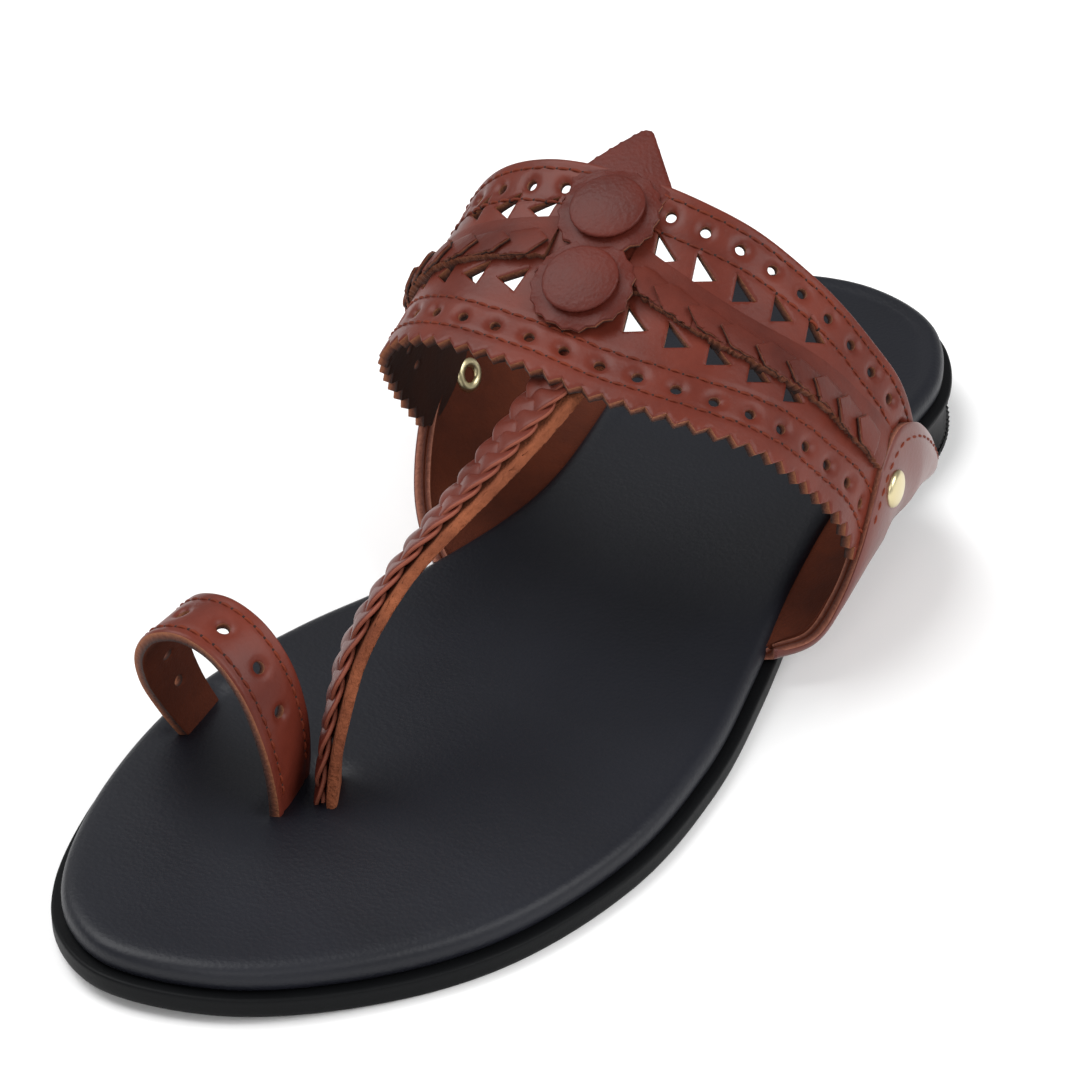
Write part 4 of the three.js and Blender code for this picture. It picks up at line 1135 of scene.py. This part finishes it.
# Hide with a drier, rubbed face, and its torn front edge, dark with loose fibres.
braid_hide = leather("rubbed_reddish_cowhide", "#64291d", "#451911", 0.5, 0.9, 0.07)
frayed = raw_edge("frayed_leather_edge", "#7a452c", "#4a2416", "#241009")
leaf_cut = cut_flat(closed_line(leaf_outline(), 0.55)[::-1], (), step=0.7, bevel=0.22)
for side_name, (s_from, s_to) in STRIPS.items():
    sense = 1.0 if s_to > s_from else -1.0
    span = abs(s_to - s_from) * BAND["length"]
    rng = np.random.default_rng(5)

    def strip_surface(flat, s_from=s_from, sense=sense):
        x = s_from * BAND["length"] + sense * flat[:, 0]
        return band_surface(np.column_stack([x, strip_centre(x / BAND["length"]) + flat[:, 1]]))

    half = STRIP["width"] / 2
    under = np.vstack([frayed_line(0.0, span, -half, rng), finely([(span, -half), (span, half)]),
                       finely([(span, half), (0.0, half)])[1:], finely([(0.0, half), (0.0, -half)])[1:-1]])
    ground_cut = cut_flat(under, (), step=0.9, bevel=0)
    strip_base = leather_solid(
        "slit_braid_ground_" + side_name, strip_surface, ground_cut, STRIP["wall"], BAND["above"],
        [braid_hide, frayed, lining], lambda flat: strip_rise(flat[:, 1]), sense, 0.1)
    leaves, slots, depths = [], [], []
    for k in range(int(span / STRIP["leaf_pitch"])):
        shake = rng.normal(0, 1, 3)
        flat, tri, rims = leaf_cut
        place = flat * (1, 1 + 0.03 * shake[0]) + (k * STRIP["leaf_pitch"] + 0.3 + 0.2 * shake[1], 0)
        front = flat[:, 1] < -half + 0.4
        place[front, 1] += rng.normal(0, 0.16, front.sum())
        base = strip_surface(place)
        normal = normals_of(strip_surface, place) * sense
        share = np.clip(flat[:, 0] / STRIP["leaf_length"], 0, 1)
        lift = BAND["above"] + strip_rise(flat[:, 1]) + STRIP["tip_lift"] * (1 - share) ** 1.1 - 0.2
        lift += 0.06 * shake[2] - STRIP["back_fold"] * smooth(5.0 - half, 6.8 - half, flat[:, 1])
        rounding = 0.2 * np.isin(np.arange(len(flat)), rims[0])
        points, faces, leaf_slots, leaf_depths = two_faced(
            base + normal * (lift - rounding + STRIP["leaf_thick"] / 2)[:, None],
            base + normal * (lift - STRIP["leaf_thick"] / 2)[:, None], tri, rims, sense, ())
        leaves.append((points, faces))
        slots += leaf_slots
        depths.append(leaf_depths)
    leaves = mesh_piece("slit_braid_leaves_" + side_name, *joined(leaves), [braid_hide, frayed, lining],
                        slots, 40, {"depth": np.concatenate(depths)})
    for strip in (strip_base, leaves):
        stands_for(strip, "braid_" + side_name)


# ---------------- leaf tab
# A kite of pebbled hide, sewn under the rosettes, that points back and up over the instep.
LEAF_BASE = np.array([-4.2, 147.4, 80.2])
LEAF_HEADING = unit(np.array([-0.1, 0.91, 0.41]))
LEAF_ACROSS = unit(np.array([0.99, 0.12, 0.02]))
LEAF_UP = np.cross(LEAF_ACROSS, LEAF_HEADING)
LEAF_CORNERS = [(-3.0, -6.6), (7.4, -9.3), (8.6, -9.3), (20.0, -1.5), (20.9, -0.6), (20.9, 0.6),
                (20.0, 1.5), (8.6, 9.6), (7.2, 9.6), (-3.0, 6.6)]
# Pebbled hide: a coarser grain that catches small lights.
pebbled = leather("pebbled_reddish_cowhide", "#5e241a", "#471810", 0.46, 0.85, 0.15, coat=0.03)


def leaf_tab_surface(flat):
    bow = -0.012 * flat[:, 1] ** 2 - 0.004 * np.clip(flat[:, 0], 0, None) ** 2
    return LEAF_BASE + flat[:, :1] * LEAF_HEADING + flat[:, 1:2] * LEAF_ACROSS + bow[:, None] * LEAF_UP


leaf_tab_cut = cut_flat(closed_line(LEAF_CORNERS, 0.6)[::-1], (), 0.7)
tab_probe = normals_of(leaf_tab_surface, np.array([[0.0, 0.0]]))[0]
leaf_tab = leather_solid("leaf_tab_kite", leaf_tab_surface, leaf_tab_cut, 1.7, 0.85,
                         [pebbled, cut_hide, lining], None, 1.0 if tab_probe[2] > 0 else -1.0)
stands_for(leaf_tab, "leaf_tab")


# ---------------- rosettes and covered buttons
# Two discs with pinked rims, the front one lapping the back one. Each is held by a button: a
# disc of board with pebbled hide drawn over it and gathered underneath.
ROSETTES = {
    "front": {"at": (-0.4, 133.0, 74.4), "axis": (0.04, -0.52, 1.0)},
    "back": {"at": (-3.2, 147.2, 81.4), "axis": (0.02, -0.46, 1.0)},
}
ROSETTE = {"radius": 9.6, "thick": 1.2, "lobes": 19, "lobe_depth": 0.55, "droop": 0.012, "ruffle": 0.35}
BUTTON = {"radius": 7.0, "edge": 0.9, "dome": 0.9}


def lathe(profile, centre, axis, segments, ripple=None):
    """A turned closed form: profile of (radius, height), both ends on the axis."""
    side = unit(np.cross(axis, (0.0, 1.0, 0.3)))
    other = np.cross(axis, side)
    angle = round_turn(segments)
    points, rings = [], []
    for radius, height in profile[1:-1]:
        r = radius + (ripple(angle, height) if ripple else 0.0)
        rings.append(np.arange(segments) + len(points) * segments)
        points.append(centre + np.outer(r * np.cos(angle), side)
                      + np.outer(r * np.sin(angle), other) + height * axis)
    points = np.vstack(points + [centre + profile[0][1] * axis, centre + profile[-1][1] * axis])
    low, high = len(points) - 2, len(points) - 1
    faces = bands_between(rings).tolist()
    faces += [[low, j, i] for i, j in zip(rings[0], np.roll(rings[0], -1))]
    faces += [[high, i, j] for i, j in zip(rings[-1], np.roll(rings[-1], -1))]
    return points, faces


for where, row in ROSETTES.items():
    centre = np.asarray(row["at"], float)
    axis = unit(np.asarray(row["axis"], float))
    side = unit(np.cross((0.0, 1.0, 0.3), axis))
    other = np.cross(axis, side)

    def rosette_surface(flat, centre=centre, axis=axis, side=side, other=other):
        r2 = (flat**2).sum(1)
        theta = np.arctan2(flat[:, 1], flat[:, 0])
        bow = (-ROSETTE["droop"] * r2
               + ROSETTE["ruffle"] * np.sin(ROSETTE["lobes"] / 3 * theta) * (r2 / 90) ** 2)
        return centre + flat[:, :1] * side + flat[:, 1:2] * other + bow[:, None] * axis

    theta = round_turn(ROSETTE["lobes"] * 12)
    saw = np.abs(((theta * ROSETTE["lobes"] / (2 * np.pi)) % 1) * 2 - 1)
    radius = ROSETTE["radius"] - ROSETTE["lobe_depth"] * saw**0.8
    rim = np.column_stack([radius * np.cos(theta), radius * np.sin(theta)])
    disc = leather_solid("rosette_disc_" + where, rosette_surface, cut_flat(rim, (), 0.7, bevel=0.25),
                         ROSETTE["thick"], ROSETTE["thick"] / 2 + 0.3, [pebbled, cut_hide, lining])
    stands_for(disc, "rosette_" + where)

    r, base = BUTTON["radius"], ROSETTE["thick"] / 2 + 0.2
    profile = [(0, base), (r - 0.9, base), (r - 0.45, base + 0.2), (r - 0.1, base + 0.45), (r, base + 0.7),
               (r - 0.12, base + 1.0)]
    for share in (0.95, 0.88, 0.78, 0.66, 0.5, 0.34, 0.18, 0.08):
        profile.append((r * share, base + BUTTON["edge"] + BUTTON["dome"] * (1 - share**2) ** 0.9 + 0.1))
    profile.append((0, base + BUTTON["edge"] + BUTTON["dome"] + 0.1))

    def gathers(angle, height, base=base):
        """Hide gathered in folds round the button's foot, fading out a millimetre up."""
        depth = 0.09 * np.clip(base + 1.0 - height, 0, 1)
        return depth * np.sin(angle * 26 + 0.7 * np.sin(angle * 3))

    points, faces = lathe(profile, centre, axis, 96, gathers)
    button = mesh_piece("covered_button_" + where, points, faces, [pebbled], sharp_deg=70)
    stands_for(button, "button_" + where)


# ---------------- rivets
# A brass tubular rivet through each ear and the band's end: a flat-domed head outside and a
# rolled ring with an open barrel inside.
RIVET = {"head": 3.6, "height": 1.15, "ring": 3.5, "bore": 1.5}
RIVET_AT = {"lateral": (0.455, 0.8), "medial": (0.49, 0.74)}
# The head's profile: share of its radius, height over its seat, and share of the dome's height.
HEAD_PROFILE = [
    (0, -0.6, 0), (0.9, -0.6, 0), (0.99, -0.2, 0), (1, 0.1, 0), (0.985, 0.3, 0), (0.93, 0, 0.52),
    (0.8, 0, 0.74), (0.6, 0, 0.88), (0.35, 0, 0.96), (0.12, 0, 1), (0, 0, 1),
]
# The rolled ring's profile: share of the ring's or the bore's radius, and height over the lining.
RING_PROFILE = [(0, 0.6), (0.9, 0.6), (1, 0.1), (1, -0.15), (0.93, -0.5), (0.78, -0.75), (0.62, -0.7)]
BORE_PROFILE = [(1.08, -0.45), (1, -0.1), (0.98, 0.4), (0, 0.4)]
brass, tree, shader = new_material("polished_pale_brass")
place = add_node(tree, "ShaderNodeTexCoord").outputs["Object"]
plug(tree, shader, {"Roughness": stretched(tree, noise(tree, place, 2.0, 4.0), 0.24, 0.4)})
shader.inputs["Base Color"].default_value = hex_linear("#cfc29a")
shader.inputs["Metallic"].default_value = 1.0
for side_name, (u_share, v_share) in RIVET_AT.items():
    surface, flip = ear_sides[side_name]
    flat = np.array([[u_share * EAR_FLAT[0], v_share * EAR_FLAT[1]]])
    centre = surface(flat)[0]
    out_dir = normals_of(surface, flat)[0] * flip
    half = EAR["wall"] / 2
    head = [(RIVET["head"] * share, half + 0.4 + rise + RIVET["height"] * dome)
            for share, rise, dome in HEAD_PROFILE]
    roll = [(RIVET["ring"] * share, rise - half) for share, rise in RING_PROFILE]
    roll += [(RIVET["bore"] * share, rise - half) for share, rise in BORE_PROFILE]
    ring_points, ring_faces = lathe(roll, centre, out_dir, 64)
    points, faces = joined([lathe(head, centre, out_dir, 64), (ring_points, [f[::-1] for f in ring_faces])])
    rivet = mesh_piece("rivet_brass_" + side_name, points, faces, [brass], sharp_deg=50)
    stands_for(rivet, "rivet_" + side_name)
